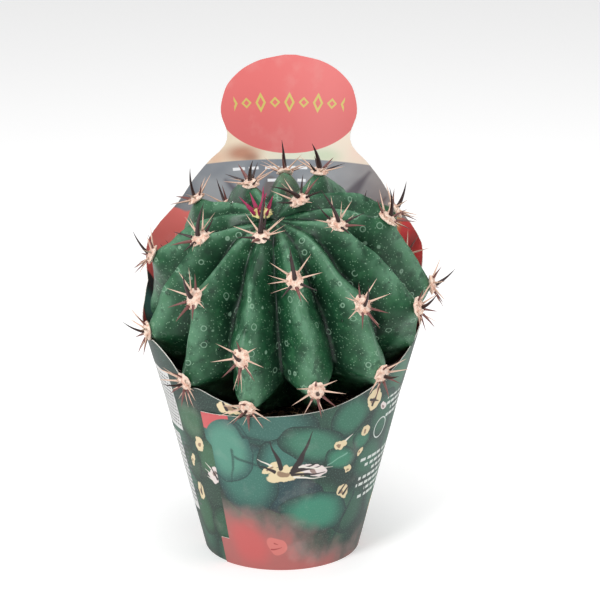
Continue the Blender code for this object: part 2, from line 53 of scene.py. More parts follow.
bpy.ops.object.select_all(action="DESELECT")
bpy.ops.object.camera_add(
    location=(0.0103, -1.1984, 0.5038),
    rotation=(math.radians(73.2), 0.0, 0.0),
)
camera = bpy.context.object
camera.name = "camera"
camera.data.sensor_width = 36.0
camera.data.lens = 136.3
camera.data.clip_end = 30.0
bpy.context.scene.camera = camera
bpy.context.scene.view_settings.view_transform = "Standard"

bpy.ops.mesh.primitive_plane_add(size=24.0, location=(0.0, 4.0, -0.0002))
floor = bpy.context.object
floor.name = "floor"
floor_finish = bpy.data.materials.new("pale_floor")
floor_finish.use_nodes = True
floor_shader = floor_finish.node_tree.nodes["Principled BSDF"]
floor_shader.inputs["Base Color"].default_value = (0.90, 0.90, 0.90, 1.0)
floor_shader.inputs["Roughness"].default_value = 0.85
floor_shader.inputs["Emission Color"].default_value = (1.0, 1.0, 1.0, 1.0)
floor_shader.inputs["Emission Strength"].default_value = 0.27
floor.data.materials.append(floor_finish)

world = bpy.data.worlds.new("soft_room")
world.use_nodes = True
world.node_tree.nodes["Background"].inputs["Color"].default_value = (1.0, 1.0, 1.0, 1.0)
world.node_tree.nodes["Background"].inputs["Strength"].default_value = 0.52
bpy.context.scene.world = world


def hang_lamp(name, place, size, power):
    """A square lamp that faces the middle of the cactus."""
    bpy.ops.object.light_add(type="AREA", location=place)
    lamp = bpy.context.object
    lamp.name = name
    lamp.data.shape = "SQUARE"
    lamp.data.size = size
    lamp.data.energy = power
    towards = Vector((0.0, 0.0, 0.12)) - Vector(place)
    lamp.rotation_euler = towards.to_track_quat("-Z", "Y").to_euler()


hang_lamp("front_left_lamp", (-0.75, -1.15, 1.05), 0.50, 15.5)
hang_lamp("right_lamp", (1.25, -0.55, 0.75), 0.80, 5.0)
hang_lamp("top_lamp", (0.10, 0.15, 1.60), 0.70, 8.0)


# ------------------------------------------------------------------ plastic pot
# A growers' pot of thin dark plastic, 129 mm across the rim, moulded in one piece with a
# rolled lip and drain holes in its floor. The sleeve hides all but its rim.

POT_BASE_RADIUS = 0.0420
POT_RIM_RADIUS = 0.0645
POT_HEIGHT = 0.0920
POT_WALL = 0.0012
POT_LIP_HEIGHT = 0.0070
POT_LIP_WIDTH = 0.0030
DRAIN_COUNT = 8
DRAIN_RADIUS = 0.0040
DRAIN_RING = 0.0290
DRAIN_CUT = 0.0060


def start_piece():
    """Leave edit mode and select nothing, so that the next tool acts on its own piece only."""
    if bpy.context.object is not None and bpy.context.object.mode != "OBJECT":
        bpy.ops.object.mode_set(mode="OBJECT")
    bpy.ops.object.select_all(action="DESELECT")


def take_up(piece):
    """Select one piece, so that the next tool acts on it."""
    start_piece()
    piece.select_set(True)
    bpy.context.view_layer.objects.active = piece


def name_piece(name):
    """Name the primitive just added and move its place into its mesh."""
    piece = bpy.context.object
    piece.name = name
    piece.data.name = name
    bpy.ops.object.transform_apply(location=True, rotation=True, scale=True)
    return piece


def pick_faces(piece, rule):
    """In edit mode, select only the faces that the rule holds for."""
    shape = bmesh.from_edit_mesh(piece.data)
    for item in (*shape.verts, *shape.edges, *shape.faces):
        item.select_set(False)
    for face in shape.faces:
        if rule(face):
            face.select_set(True)
    bmesh.update_edit_mesh(piece.data)


def node(tree, kind, inputs=None, **settings):
    """Add a node to a tree, with its settings and its sockets' values or links."""
    made = tree.nodes.new(kind)
    for name, value in settings.items():
        setattr(made, name, value)
    for socket, value in (inputs or {}).items():
        if isinstance(value, bpy.types.NodeSocket):
            tree.links.new(value, made.inputs[socket])
        else:
            made.inputs[socket].default_value = value
    return made


def ink(red, green, blue):
    """A colour given as on a colour card, 0 to 255, turned into the renderer's own scale."""
    parts = [value / 255.0 for value in (red, green, blue)]
    return (*[part / 12.92 if part < 0.04 else ((part + 0.055) / 1.055) ** 2.4 for part in parts], 1.0)


def mixed(tree, share, below, above, blend="MIX"):
    """One colour laid over another by a share."""
    made = node(tree, "ShaderNodeMix", {0: share, 6: below, 7: above}, data_type="RGBA", blend_type=blend)
    return made.outputs[2]


def sums(tree, operation, first, second=0.0, third=0.0):
    """One step of arithmetic."""
    return node(tree, "ShaderNodeMath", {0: first, 1: second, 2: third}, operation=operation).outputs[0]


def plus(tree, first, second):
    return sums(tree, "ADD", first, second)


def minus(tree, first, second):
    return sums(tree, "SUBTRACT", first, second)


def times(tree, first, second):
    return sums(tree, "MULTIPLY", first, second)


def washed(tree, below, above, share, strength):
    """One colour laid over another by a share that is itself weakened."""
    return mixed(tree, times(tree, share, strength), below, above)


def ramped(tree, value, start, end, low=0.0, high=1.0, soft=True):
    """Turn a value between start and end into one between low and high, kept within them."""
    made = node(
        tree,
        "ShaderNodeMapRange",
        {"Value": value, "From Min": start, "From Max": end, "To Min": low, "To Max": high},
        interpolation_type="SMOOTHSTEP" if soft else "LINEAR",
        clamp=not soft,
    )
    return made.outputs["Result"]


def object_place(tree):
    """Where a place is in its piece's own metres."""
    return node(tree, "ShaderNodeTexCoord").outputs["Object"]


def grained(tree, place, scale, detail, roughness=0.5):
    """Soft random grain."""
    settings = {"Vector": place, "Scale": scale, "Detail": detail, "Roughness": roughness}
    return node(tree, "ShaderNodeTexNoise", settings).outputs["Fac"]


def bumped(tree, shader, strength, distance, height):
    """Roughen a finish by a height, on top of any roughening that it has."""
    settings = {"Strength": strength, "Distance": distance, "Height": height}
    if shader.inputs["Normal"].is_linked:
        settings["Normal"] = shader.inputs["Normal"].links[0].from_socket
    made = node(tree, "ShaderNodeBump", settings)
    tree.links.new(made.outputs["Normal"], shader.inputs["Normal"])


def new_finish(name, roughness):
    """A new material, its node tree and its shader."""
    made = bpy.data.materials.new(name)
    made.use_nodes = True
    shader = made.node_tree.nodes["Principled BSDF"]
    shader.inputs["Roughness"].default_value = roughness
    return made, made.node_tree, shader


start_piece()
wall_top_radius = POT_RIM_RADIUS - POT_LIP_WIDTH
bpy.ops.mesh.primitive_cone_add(
    vertices=96,
    radius1=POT_BASE_RADIUS,
    radius2=wall_top_radius,
    depth=POT_HEIGHT,
    location=(0.0, 0.0, POT_HEIGHT / 2),
)
pot = name_piece("growers_pot")
bpy.ops.object.mode_set(mode="EDIT")
bpy.ops.mesh.select_all(action="SELECT")
lip_bottom = POT_HEIGHT - POT_LIP_HEIGHT
bpy.ops.mesh.bisect(plane_co=(0.0, 0.0, lip_bottom), plane_no=(0.0, 0.0, 1.0))
pick_faces(pot, lambda face: abs(face.normal.z) < 0.9 and face.calc_center_median().z > lip_bottom)
bpy.ops.mesh.extrude_region_shrink_fatten(TRANSFORM_OT_shrink_fatten={"value": POT_LIP_WIDTH - 0.0001})
pick_faces(pot, lambda face: face.normal.z > 0.9 and len(face.verts) > 50)
bpy.ops.mesh.inset(thickness=POT_WALL)
bpy.ops.mesh.extrude_region_move(TRANSFORM_OT_translate={"value": (0.0, 0.0, POT_WALL - POT_HEIGHT)})
floor_share = (POT_BASE_RADIUS - POT_WALL) / (wall_top_radius - POT_WALL)
bpy.ops.transform.resize(value=(floor_share, floor_share, 1.0))
bpy.ops.object.mode_set(mode="OBJECT")

drains = []
for index in range(DRAIN_COUNT):
    turn = math.tau * index / DRAIN_COUNT
    start_piece()
    bpy.ops.mesh.primitive_cylinder_add(
        vertices=20,
        radius=DRAIN_RADIUS,
        depth=DRAIN_CUT,
        location=(DRAIN_RING * math.cos(turn), DRAIN_RING * math.sin(turn), 0.0),
    )
    drains.append(bpy.context.object)
start_piece()
for drain in drains:
    drain.select_set(True)
bpy.context.view_layer.objects.active = drains[0]
bpy.ops.object.join()
drain_cutter = drains[0]
take_up(pot)
cut = pot.modifiers.new("drain_holes", "BOOLEAN")
cut.object = drain_cutter
cut.operation = "DIFFERENCE"
cut.solver = "EXACT"
bpy.ops.object.modifier_apply(modifier="drain_holes")
bpy.data.objects.remove(drain_cutter, do_unlink=True)
rounding = pot.modifiers.new("moulded_edges", "BEVEL")
rounding.width = 0.0005
rounding.segments = 2
rounding.limit_method = "ANGLE"
rounding.angle_limit = math.radians(40.0)
bpy.ops.object.modifier_apply(modifier="moulded_edges")
bpy.ops.object.shade_smooth_by_angle(angle=math.radians(35.0))

pot_finish, tree, shader = new_finish("dark_moulded_plastic", 0.42)
place = object_place(tree)
scuffs = grained(tree, place, 160.0, 6.0)
dust = ramped(tree, scuffs, 0.50, 0.72)
tree.links.new(mixed(tree, dust, ink(38, 33, 32), ink(66, 58, 52)), shader.inputs["Base Color"])
tree.links.new(ramped(tree, scuffs, 0.3, 0.7, 0.36, 0.62), shader.inputs["Roughness"])
grain = grained(tree, place, 2400.0, 2.0)
bumped(tree, shader, 0.12, 0.0002, grain)
pot.data.materials.append(pot_finish)
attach(pot, "root")
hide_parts("plastic_pot")


# ------------------------------------------------------------------ peat
# Dark peat mix, filled to 4 mm below the rim and pressed down under the stem. Its surface is
# lumpy, with loose crumbs and tan root fibres lying on it.

SOIL_LEVEL = 0.0880
SOIL_RADIUS = 0.0590
SOIL_RINGS = 40
SOIL_BOTTOM = 0.0018
SOIL_CLEARANCE = 0.0006
CRUMBS = 620
FIBRES = 430


def surface_of(piece):
    """A piece's surface, to find where it lies."""
    points = [vertex.co.copy() for vertex in piece.data.vertices]
    return BVHTree.FromPolygons(points, [face.vertices[:] for face in piece.data.polygons])


stem_below = surface_of(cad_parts["cactus_stem"])
up = Vector((0.0, 0.0, 1.0))


def stem_over(x, y):
    """Height of the stem's underside over a place in the pot."""
    hit = stem_below.ray_cast(Vector((x, y, 0.0)), up)[0]
    return hit.z if hit is not None else 1.0


start_piece()
bpy.ops.mesh.primitive_cone_add(
    vertices=112,
    radius1=POT_BASE_RADIUS - POT_WALL - SOIL_CLEARANCE,
    radius2=SOIL_RADIUS,
    depth=SOIL_LEVEL - SOIL_BOTTOM,
    location=(0.0, 0.0, (SOIL_LEVEL + SOIL_BOTTOM) / 2),
)
peat = name_piece("peat")
bpy.ops.object.mode_set(mode="EDIT")
pick_faces(peat, lambda face: face.normal.z > 0.9)
for ring in range(SOIL_RINGS):
    bpy.ops.mesh.inset(thickness=SOIL_RADIUS / (SOIL_RINGS + 1))
bpy.ops.mesh.poke()
bpy.ops.object.mode_set(mode="OBJECT")
for vertex in peat.data.vertices:
    if vertex.co.z < SOIL_LEVEL - 0.0001:
        continue
    x, y, _ = vertex.co
    lumps = 0.0021 * noise.fractal(Vector((x, y, 3.0)) * 140.0, 0.9, 2.1, 4)
    lumps += 0.0009 * abs(noise.noise(Vector((x, y, 9.0)) * 520.0))
    heaped = 0.0016 * min(max((math.hypot(x, y) - 0.030) / 0.02, 0.0), 1.0)
    edge = min((SOIL_RADIUS - math.hypot(x, y)) / 0.004, 1.0)
    height = SOIL_LEVEL + heaped * edge + lumps * max(edge, 0.25)
    around = [stem_over(x + dx, y + dy) for dx in (-0.002, 0.0, 0.002) for dy in (-0.002, 0.0, 0.002)]
    vertex.co.z = min(height, min(around) - 0.0003)
take_up(peat)
bpy.ops.object.shade_smooth_by_angle(angle=math.radians(50.0))


def peat_colours(tree, place):
    """Near-black peat with brown and tan patches."""
    broad = grained(tree, place, 260.0, 8.0)
    fine = grained(tree, place, 1500.0, 4.0)
    dark = mixed(tree, ramped(tree, broad, 0.38, 0.66), ink(22, 15, 13), ink(58, 38, 28))
    return mixed(tree, ramped(tree, fine, 0.60, 0.74, 0.0, 0.7), dark, ink(112, 78, 54)), broad, fine


peat_finish, tree, shader = new_finish("damp_peat", 0.9)
place = object_place(tree)
colour, broad, fine = peat_colours(tree, place)
tree.links.new(colour, shader.inputs["Base Color"])
tree.links.new(ramped(tree, broad, 0.35, 0.6, 0.62, 0.95), shader.inputs["Roughness"])
bumped(tree, shader, 0.9, 0.0012, broad)
bumped(tree, shader, 0.7, 0.0004, fine)
peat.data.materials.append(peat_finish)
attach(peat, "root")
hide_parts("potting_soil")

peat_top = surface_of(peat)


def place_on_peat(chance, room):
    """A random place on the peat with that much room under the stem, or None."""
    radius = (SOIL_RADIUS - 0.001) * math.sqrt(chance.uniform(0.12, 1.0))
    turn = chance.uniform(0.0, math.tau)
    x = radius * math.cos(turn)
    y = radius * math.sin(turn)
    hit = peat_top.ray_cast(Vector((x, y, 0.3)), -up)[0]
    if hit is None or stem_over(x, y) - hit.z < room:
        return None
    return hit


def take_shape(piece):
    """Keep a model's mesh to copy from, and remove the model."""
    shape = piece.data.copy()
    bpy.data.objects.remove(piece, do_unlink=True)
    return shape


# One angular crumb and one straight strand are modelled, and each copy is turned, stretched
# or bent as it is laid down.
start_piece()
bpy.ops.mesh.primitive_ico_sphere_add(subdivisions=2, radius=1.0)
crumb = bpy.context.object
for vertex in crumb.data.vertices:
    vertex.co *= 1.0 + 0.35 * noise.noise(vertex.co * 1.7)
crumb_shape = take_shape(crumb)


def model_strand(sides, steps):
    """A straight strand of length 1 and radius 1 up Z, drawn out ring by ring from a circle."""
    start_piece()
    bpy.ops.mesh.primitive_circle_add(vertices=sides, radius=1.0, fill_type="NGON")
    strand = bpy.context.object
    bpy.ops.object.mode_set(mode="EDIT")
    bpy.ops.mesh.select_all(action="SELECT")
    for step in range(steps):
        bpy.ops.mesh.extrude_region_move(TRANSFORM_OT_translate={"value": (0.0, 0.0, 1.0 / steps)})
    bpy.ops.mesh.select_all(action="SELECT")
    bpy.ops.mesh.normals_make_consistent(inside=False)
    bpy.ops.object.mode_set(mode="OBJECT")
    return take_shape(strand)


def lay_strand(bm, shape, path, width, finish=0, tone=0.0, flat=1.0, side=None):
    """Copy a strand along a path, as wide as width says at each share of its length."""
    marks = bm.loops.layers.uv.verify()
    made = []
    for vertex in shape.vertices:
        share = vertex.co.z
        middle = path(share)
        heading = (path(min(share + 0.02, 1.0)) - path(max(share - 0.02, 0.0))).normalized()
        across = heading.cross(side if side is not None else Vector((0.31, 0.57, 0.76))).normalized()
        over = heading.cross(across)
        radius = width(share)
        spot = middle + across * (vertex.co.x * radius) + over * (vertex.co.y * radius * flat)
        made.append(bm.verts.new(spot))
    for face in shape.polygons:
        drawn = bm.faces.new([made[index] for index in face.vertices])
        drawn.material_index = finish
        drawn.smooth = True
        for loop, index in zip(drawn.loops, face.vertices):
            loop[marks].uv = (tone, shape.vertices[index].co.z)


def lay_copy(bm, shape, placed, smooth=False):
    """Copy a shape to its place."""
    made = [bm.verts.new(placed @ vertex.co) for vertex in shape.vertices]
    for face in shape.polygons:
        bm.faces.new([made[index] for index in face.vertices]).smooth = smooth


def make_piece(name, bm, finishes):
    """Turn a bmesh into a finished piece at the origin."""
    bmesh.ops.recalc_face_normals(bm, faces=bm.faces[:])
    mesh = bpy.data.meshes.new(name)
    bm.to_mesh(mesh)
    bm.free()
    for finish in finishes:
        mesh.materials.append(finish)
    piece = bpy.data.objects.new(name, mesh)
    bpy.context.scene.collection.objects.link(piece)
    return piece


chance = random.Random(7)
bm = bmesh.new()
laid = 0
while laid < CRUMBS:
    spot = place_on_peat(chance, 0.0022)
    if spot is None:
        continue
    laid += 1
    size = chance.choice((0.0004, 0.0005, 0.0006, 0.0007, 0.0009, 0.0012, 0.0016))
    turned = Matrix.Rotation(chance.uniform(0.0, math.tau), 4, "Z")
    turned = turned @ Matrix.Rotation(chance.uniform(-0.6, 0.6), 4, "X")
    shaped = Matrix.Diagonal((size * chance.uniform(0.8, 1.6), size, size * chance.uniform(0.5, 0.9), 1.0))
    placed = Matrix.Translation(spot + up * size * 0.2) @ turned @ shaped
    lay_copy(bm, crumb_shape, placed)
crumbs = make_piece("peat_crumbs", bm, [])
crumb_finish, tree, shader = new_finish("peat_crumb", 0.88)
place = object_place(tree)
patch = grained(tree, place, 190.0, 3.0)
fine = grained(tree, place, 2200.0, 3.0)
tint = mixed(tree, ramped(tree, patch, 0.35, 0.62), ink(30, 20, 16), ink(96, 66, 46))
tint = mixed(tree, ramped(tree, fine, 0.45, 0.75, 0.0, 0.5), tint, ink(132, 98, 70))
tree.links.new(tint, shader.inputs["Base Color"])
bumped(tree, shader, 0.6, 0.0002, fine)
crumbs.data.materials.append(crumb_finish)
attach(crumbs, "root")

fibre_shape = model_strand(3, 5)
bm = bmesh.new()
laid = 0
while laid < FIBRES:
    spot = place_on_peat(chance, 0.0030)
    if spot is None:
        continue
    laid += 1
    turn = chance.uniform(0.0, math.tau)
    length = chance.uniform(0.003, 0.011)
    heading = Vector((math.cos(turn), math.sin(turn), chance.uniform(-0.02, 0.25)))
    curl = Vector((-math.sin(turn), math.cos(turn), 0.0)) * chance.uniform(-0.5, 0.5)
    arch = chance.uniform(0.05, 0.30)
    start = spot + up * 0.0003 - heading * length * 0.5

    def fibre_path(share, start=start, heading=heading, curl=curl, length=length, arch=arch):
        lifted = up * (arch * length * share * (1.0 - share))
        return start + heading * (length * share) + curl * (length * share * share) + lifted

    thick = chance.uniform(0.00012, 0.00030)
    lay_strand(bm, fibre_shape, fibre_path, lambda share, thick=thick: thick, tone=chance.random())
fibres = make_piece("root_fibres", bm, [])
fibre_finish, tree, shader = new_finish("dry_fibre", 0.7)
own = node(tree, "ShaderNodeUVMap", uv_map=fibres.data.uv_layers[0].name).outputs["UV"]
tone = node(tree, "ShaderNodeSeparateXYZ", {"Vector": own}).outputs["X"]
place = object_place(tree)
stain = grained(tree, place, 700.0, 3.0)
tint = mixed(tree, tone, ink(92, 60, 42), ink(196, 160, 118))
tint = mixed(tree, ramped(tree, stain, 0.45, 0.65, 0.0, 0.6), tint, ink(60, 40, 30))
tree.links.new(tint, shader.inputs["Base Color"])
fibres.data.materials.append(fibre_finish)
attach(fibres, "root")


# ------------------------------------------------------------------ cactus stem
# A leaning globe of green flesh with thirteen broad ribs, about 150 mm across. The waxy skin
# is darkened by painted shade down in the creases, and paler along the crests with a bloom that is
# partly painted highlight, with pale specks, and dried rings where water drops stood.

STEM_RADIUS = 0.0755
STEM_RISE = 0.0605
STEM_DROP = 0.0560
STEM_LEAN_FORWARD = 21.4
STEM_LEAN_LEFT = 6.9
RIB_COUNT = 13
RIB_DEPTH = 0.0185
AREOLE_SPACING = 58.0
stem_turn = Matrix.Rotation(math.radians(-STEM_LEAN_LEFT), 3, "Y") @ Matrix.Rotation(
    math.radians(STEM_LEAN_FORWARD), 3, "X"
)


def eased(x):
    """Rise smoothly from 0 to 1."""
    x = min(max(x, 0.0), 1.0)
    return x * x * (3.0 - 2.0 * x)


def rib_angle(rib):
    """The way that a rib faces, from the front towards the right."""
    return math.radians(-102.0 + 360.0 / RIB_COUNT * rib)


def areoles_of(rib):
    """How far from the crown, in degrees, one rib's areoles sit. The oldest crowd together."""
    found = []
    colatitude = (2.0 + AREOLE_SPACING * 5.0 / RIB_COUNT * rib) % AREOLE_SPACING
    while colatitude < 128.0:
        found.append(colatitude - max(colatitude - 88.0, 0.0) * 0.75)
        colatitude += AREOLE_SPACING
    return found


def stem_profile(colatitude):
    """Radius and height of a ridge at an angle from the crown."""
    slant = math.radians(colatitude)
    fullness = 0.70 if colatitude < 90.0 else 1.40
    radius = STEM_RADIUS * max(math.sin(slant), 0.0) ** fullness
    height = (STEM_RISE if colatitude < 90.0 else STEM_DROP) * math.cos(slant)
    height -= 0.0035 * (1.0 - eased(colatitude / 14.0))
    height -= 0.0120 * eased((colatitude - 150.0) / 22.0)
    if 140.0 < colatitude < 179.0:
        radius += (0.020 - radius) * eased((colatitude - 140.0) / 20.0)
    return radius, height


def rib_wave(angle):
    """1 along a ridge, falling to 0 in the sharp crease between two ribs."""
    return abs(math.cos(0.5 * RIB_COUNT * (angle - rib_angle(0))))


def rib_section(angle, colatitude, nearness):
    """A rib's cross-section, 1 on its ridge. It is swollen at an areole and keen between them."""
    round_part = rib_wave(angle) ** 0.85
    across = math.acos(min(rib_wave(angle), 1.0)) / (0.5 * math.pi)
    keenness = 1.12 - 0.52 * eased((colatitude - 70.0) / 45.0)
    share = min(nearness, 1.0)
    return share * round_part + (1.0 - share) * (1.0 - across**keenness)


def stem_surface(angle, colatitude, bulges):
    """A point of the ribbed skin, before the stem is set in its pot."""
    radius, height = stem_profile(colatitude)
    above = stem_profile(max(colatitude - 0.5, 0.0))
    below = stem_profile(min(colatitude + 0.5, 180.0))
    outward = Vector((above[1] - below[1], below[0] - above[0])).normalized()
    nearness = sum(math.exp(-(((colatitude - bulge) / 9.0) ** 2)) for bulge in bulges)
    wave = rib_section(angle, colatitude, nearness)
    depth = RIB_DEPTH * eased((colatitude - 1.0) / 36.0) * (1.0 - eased((colatitude - 125.0) / 20.0))
    lift = 0.0035 * nearness * wave**3 - depth * (1.0 - wave)
    radius += outward.x * lift
    height += outward.y * lift
    return stem_turn @ Vector((radius * math.sin(angle), -radius * math.cos(angle), height))


# The stem stands where the CAD stem does: its neck's lowest point is the lowest of both.
neck = min((stem_surface(0.0, 170.0 + 0.5 * step, []).z) for step in range(21))
stem_centre = Vector((0.0035, -0.0025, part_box("cactus_stem")[0][2] - neck))

start_piece()
bpy.ops.mesh.primitive_uv_sphere_add(segments=RIB_COUNT * 16, ring_count=120, radius=1.0)
stem = bpy.context.object
stem.name = "ribbed_stem"
ridge_marks = stem.data.attributes.new("ridge", "FLOAT", "POINT")
age_marks = stem.data.attributes.new("age", "FLOAT", "POINT")
all_areoles = [areoles_of(rib) for rib in range(RIB_COUNT)]
for vertex in stem.data.vertices:
    x, y, z = vertex.co
    colatitude = math.degrees(math.acos(max(-1.0, min(1.0, z))))
    angle = math.atan2(x, -y) + rib_angle(0)
    rib = round((angle - rib_angle(0)) / math.tau * RIB_COUNT) % RIB_COUNT
    ridge_marks.data[vertex.index].value = rib_wave(angle)
    age_marks.data[vertex.index].value = colatitude / 180.0
    point = stem_surface(angle, colatitude, all_areoles[rib])
    calm = 1.0 - sum(math.exp(-(((colatitude - bulge) / 7.0) ** 2)) for bulge in all_areoles[rib])
    calm = min(max(calm, 0.0), 1.0) * eased(colatitude / 20.0)
    uneven = 0.0009 * noise.noise(point * 60.0) + 0.00035 * noise.noise(point * 210.0)
    sideways = (stem_turn @ Vector((math.cos(angle), math.sin(angle), 0.0))).normalized()
    wander = 0.0024 * noise.noise(Vector((colatitude * 0.045, 5.0 * rib, 0.5)))
    wander *= calm * rib_wave(angle) * (1.0 - eased((colatitude - 100.0) / 25.0))
    vertex.co = stem_centre + point * (1.0 + uneven * calm / STEM_RADIUS) + sideways * wander
bpy.ops.object.shade_smooth()

skin_finish, tree, shader = new_finish("waxy_skin", 0.40)
place = object_place(tree)
ridge = node(tree, "ShaderNodeAttribute", attribute_name="ridge").outputs["Fac"]
age = node(tree, "ShaderNodeAttribute", attribute_name="age").outputs["Fac"]
cloud = grained(tree, place, 38.0, 6.0, 0.6)
mottle = grained(tree, place, 170.0, 6.0)
# painted shade: darker green towards the creases between ribs, lighter green up on the ridges
tint = mixed(tree, ramped(tree, ridge, 0.05, 0.75), ink(12, 38, 25), ink(26, 70, 44))
# a pale waxy bloom laid only along the crests: partly real bloom, partly painted highlight on the ridges
crest_bloom_and_highlight = times(tree, ramped(tree, ridge, 0.74, 1.0), ramped(tree, cloud, 0.34, 0.58))
tint = washed(tree, tint, ink(96, 142, 112), crest_bloom_and_highlight, 0.74)
tint = mixed(tree, ramped(tree, mottle, 0.50, 0.70, 0.0, 0.40), tint, ink(56, 108, 72))
tint = mixed(tree, ramped(tree, mottle, 0.48, 0.32, 0.0, 0.55), tint, ink(12, 42, 27))
# pale specks of the skin's pores
pores = node(tree, "ShaderNodeTexVoronoi", {"Vector": place, "Scale": 620.0, "Randomness": 1.0})
speck = ramped(tree, pores.outputs["Distance"], 0.26, 0.14)
tint = washed(tree, tint, ink(134, 174, 142), speck, 0.50)
# rings left by dried water drops
drop_cells = node(tree, "ShaderNodeTexVoronoi", {"Vector": place, "Scale": 150.0, "Randomness": 1.0})
cell_chance = node(tree, "ShaderNodeSeparateColor", {"Color": drop_cells.outputs["Color"]}).outputs["Red"]
off_ring = sums(tree, "ABSOLUTE", minus(tree, drop_cells.outputs["Distance"], 0.24))
ring = times(tree, ramped(tree, off_ring, 0.055, 0.015), ramped(tree, cell_chance, 0.50, 0.52))
tint = washed(tree, tint, ink(154, 190, 164), ring, 0.48)
# painted shade: a dark line down each crease; and the corky brown foot
tint = mixed(tree, ramped(tree, ridge, 0.10, 0.01, 0.0, 0.75), tint, ink(14, 34, 24))
tint = mixed(tree, ramped(tree, age, 0.78, 0.88), tint, ink(98, 80, 58))
tree.links.new(tint, shader.inputs["Base Color"])
tree.links.new(ramped(tree, cloud, 0.30, 0.70, 0.30, 0.52), shader.inputs["Roughness"])
shader.inputs["Specular IOR Level"].default_value = 0.28
bumped(tree, shader, 0.35, 0.0006, mottle)
bumped(tree, shader, 0.30, 0.0002, speck)
stem.data.materials.append(skin_finish)
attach(stem, "root")
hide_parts("cactus_stem")


# ------------------------------------------------------------------ water drops
# Small clear drops from the last watering, standing on the waxy skin. Each is a low dome.

DROPS = 84

start_piece()
bpy.ops.mesh.primitive_uv_sphere_add(segments=14, ring_count=10, radius=1.0)
dome = bpy.context.object
bpy.ops.object.mode_set(mode="EDIT")
bpy.ops.mesh.select_all(action="SELECT")
bpy.ops.mesh.bisect(plane_co=(0.0, 0.0, -0.25), plane_no=(0.0, 0.0, 1.0), clear_inner=True, use_fill=True)
bpy.ops.object.mode_set(mode="OBJECT")
dome_shape = take_shape(dome)

stem_skin = surface_of(stem)
chance = random.Random(23)
bm = bmesh.new()
laid = 0
while laid < DROPS:
    angle = chance.uniform(0.0, math.tau)
    colatitude = chance.uniform(14.0, 96.0)
    if rib_wave(angle) < 0.25:
        continue
    rib = round((angle - rib_angle(0)) / math.tau * RIB_COUNT) % RIB_COUNT
    if min(abs(colatitude - areole) for areole in all_areoles[rib]) < 8.0 and rib_wave(angle) > 0.85:
        continue
    laid += 1
    start = stem_centre + stem_surface(angle, colatitude, all_areoles[rib])
    spot, normal, _, _ = stem_skin.find_nearest(start)
    if normal.dot(spot - stem_centre) < 0.0:
        normal = -normal
    size = chance.choice((0.0005, 0.0006, 0.0008, 0.0009, 0.0012, 0.0015))
    seated = Matrix.Translation(spot) @ normal.to_track_quat("Z", "Y").to_matrix().to_4x4()
    shaped = Matrix.Diagonal((size * chance.uniform(0.9, 1.15), size, size * chance.uniform(0.38, 0.55), 1.0))
    placed = seated @ shaped
    lay_copy(bm, dome_shape, placed, smooth=True)
drops = make_piece("water_drops", bm, [])
drop_finish, tree, shader = new_finish("clear_water", 0.03)
shader.inputs["Base Color"].default_value = (0.96, 0.99, 0.98, 1.0)
shader.inputs["Transmission Weight"].default_value = 1.0
shader.inputs["IOR"].default_value = 1.33
drops.data.materials.append(drop_finish)
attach(drops, "root")


# ------------------------------------------------------------------ areoles and spines
# Each areole is a felted cream cushion on a ridge, with dark pits where its spines stand:
# one strong horn that curls up, stout lower ones, flat side ones, and thin ivory needles.

CUSHION_LENGTH = 0.0110
CUSHION_WIDTH = 0.0088
CUSHION_HEIGHT = 0.0026
HORN_LENGTH = 0.0170
HORN_THICKNESS = 0.0026
LOWER_LENGTH = 0.0125
LOWER_THICKNESS = 0.0018
NEEDLE_LENGTH = 0.0125
NEEDLE_THICKNESS = 0.0010
HAIRS = 110


def areole_frame(rib, colatitude):
    """Where an areole sits: +Z out of the skin, -Y down its rib."""
    bulges = all_areoles[rib]
    angle = rib_angle(rib)
    spot = stem_surface(angle, colatitude, bulges)
    higher = stem_surface(angle, max(colatitude - 1.5, 0.5), bulges)
    lower = stem_surface(angle, colatitude + 1.5, bulges)
    rising = (higher - lower).normalized()
    before = stem_surface(angle - 0.02, colatitude, bulges)
    after = stem_surface(angle + 0.02, colatitude, bulges)
    outward = (after - before).cross(rising).normalized()
    if outward.dot(spot) < 0.0:
        outward = -outward
    axes = Matrix((rising.cross(outward), rising, outward)).transposed().to_4x4()
    return Matrix.Translation(stem_centre + spot + outward * 0.0005) @ axes


def cushion_edge(turn, share, height):
    """A point of the oval cushion, by its turn from down the rib."""
    angle = math.radians(turn)
    across = 0.5 * CUSHION_WIDTH * share * math.sin(angle)
    down = 0.5 * CUSHION_LENGTH * share * math.cos(angle)
    return Vector((across, -down, height))


def spine_root(side):
    """Where a spine leaves the cushion: the horn from its top, the others from its side."""
    if side is None:
        return Vector((0.0, 0.0, CUSHION_HEIGHT))
    return cushion_edge(45.0 * side, 0.86, 0.6 * CUSHION_HEIGHT)


def spine_line(spine, length):
    """A spine's middle line in its areole's own axes, as a rule of the share along it."""
    side, turn, rise, _, _, bend = spine
    flat = math.radians(turn)
    lift = math.radians(rise)
    sideways = Vector((math.sin(flat), -math.cos(flat), 0.0))
    heading = sideways * math.cos(lift) + up * math.sin(lift)
    root = spine_root(side)
    curl = sideways if side is None else up
    return lambda share: root + heading * (length * share) + curl * (bend * length * share * share)


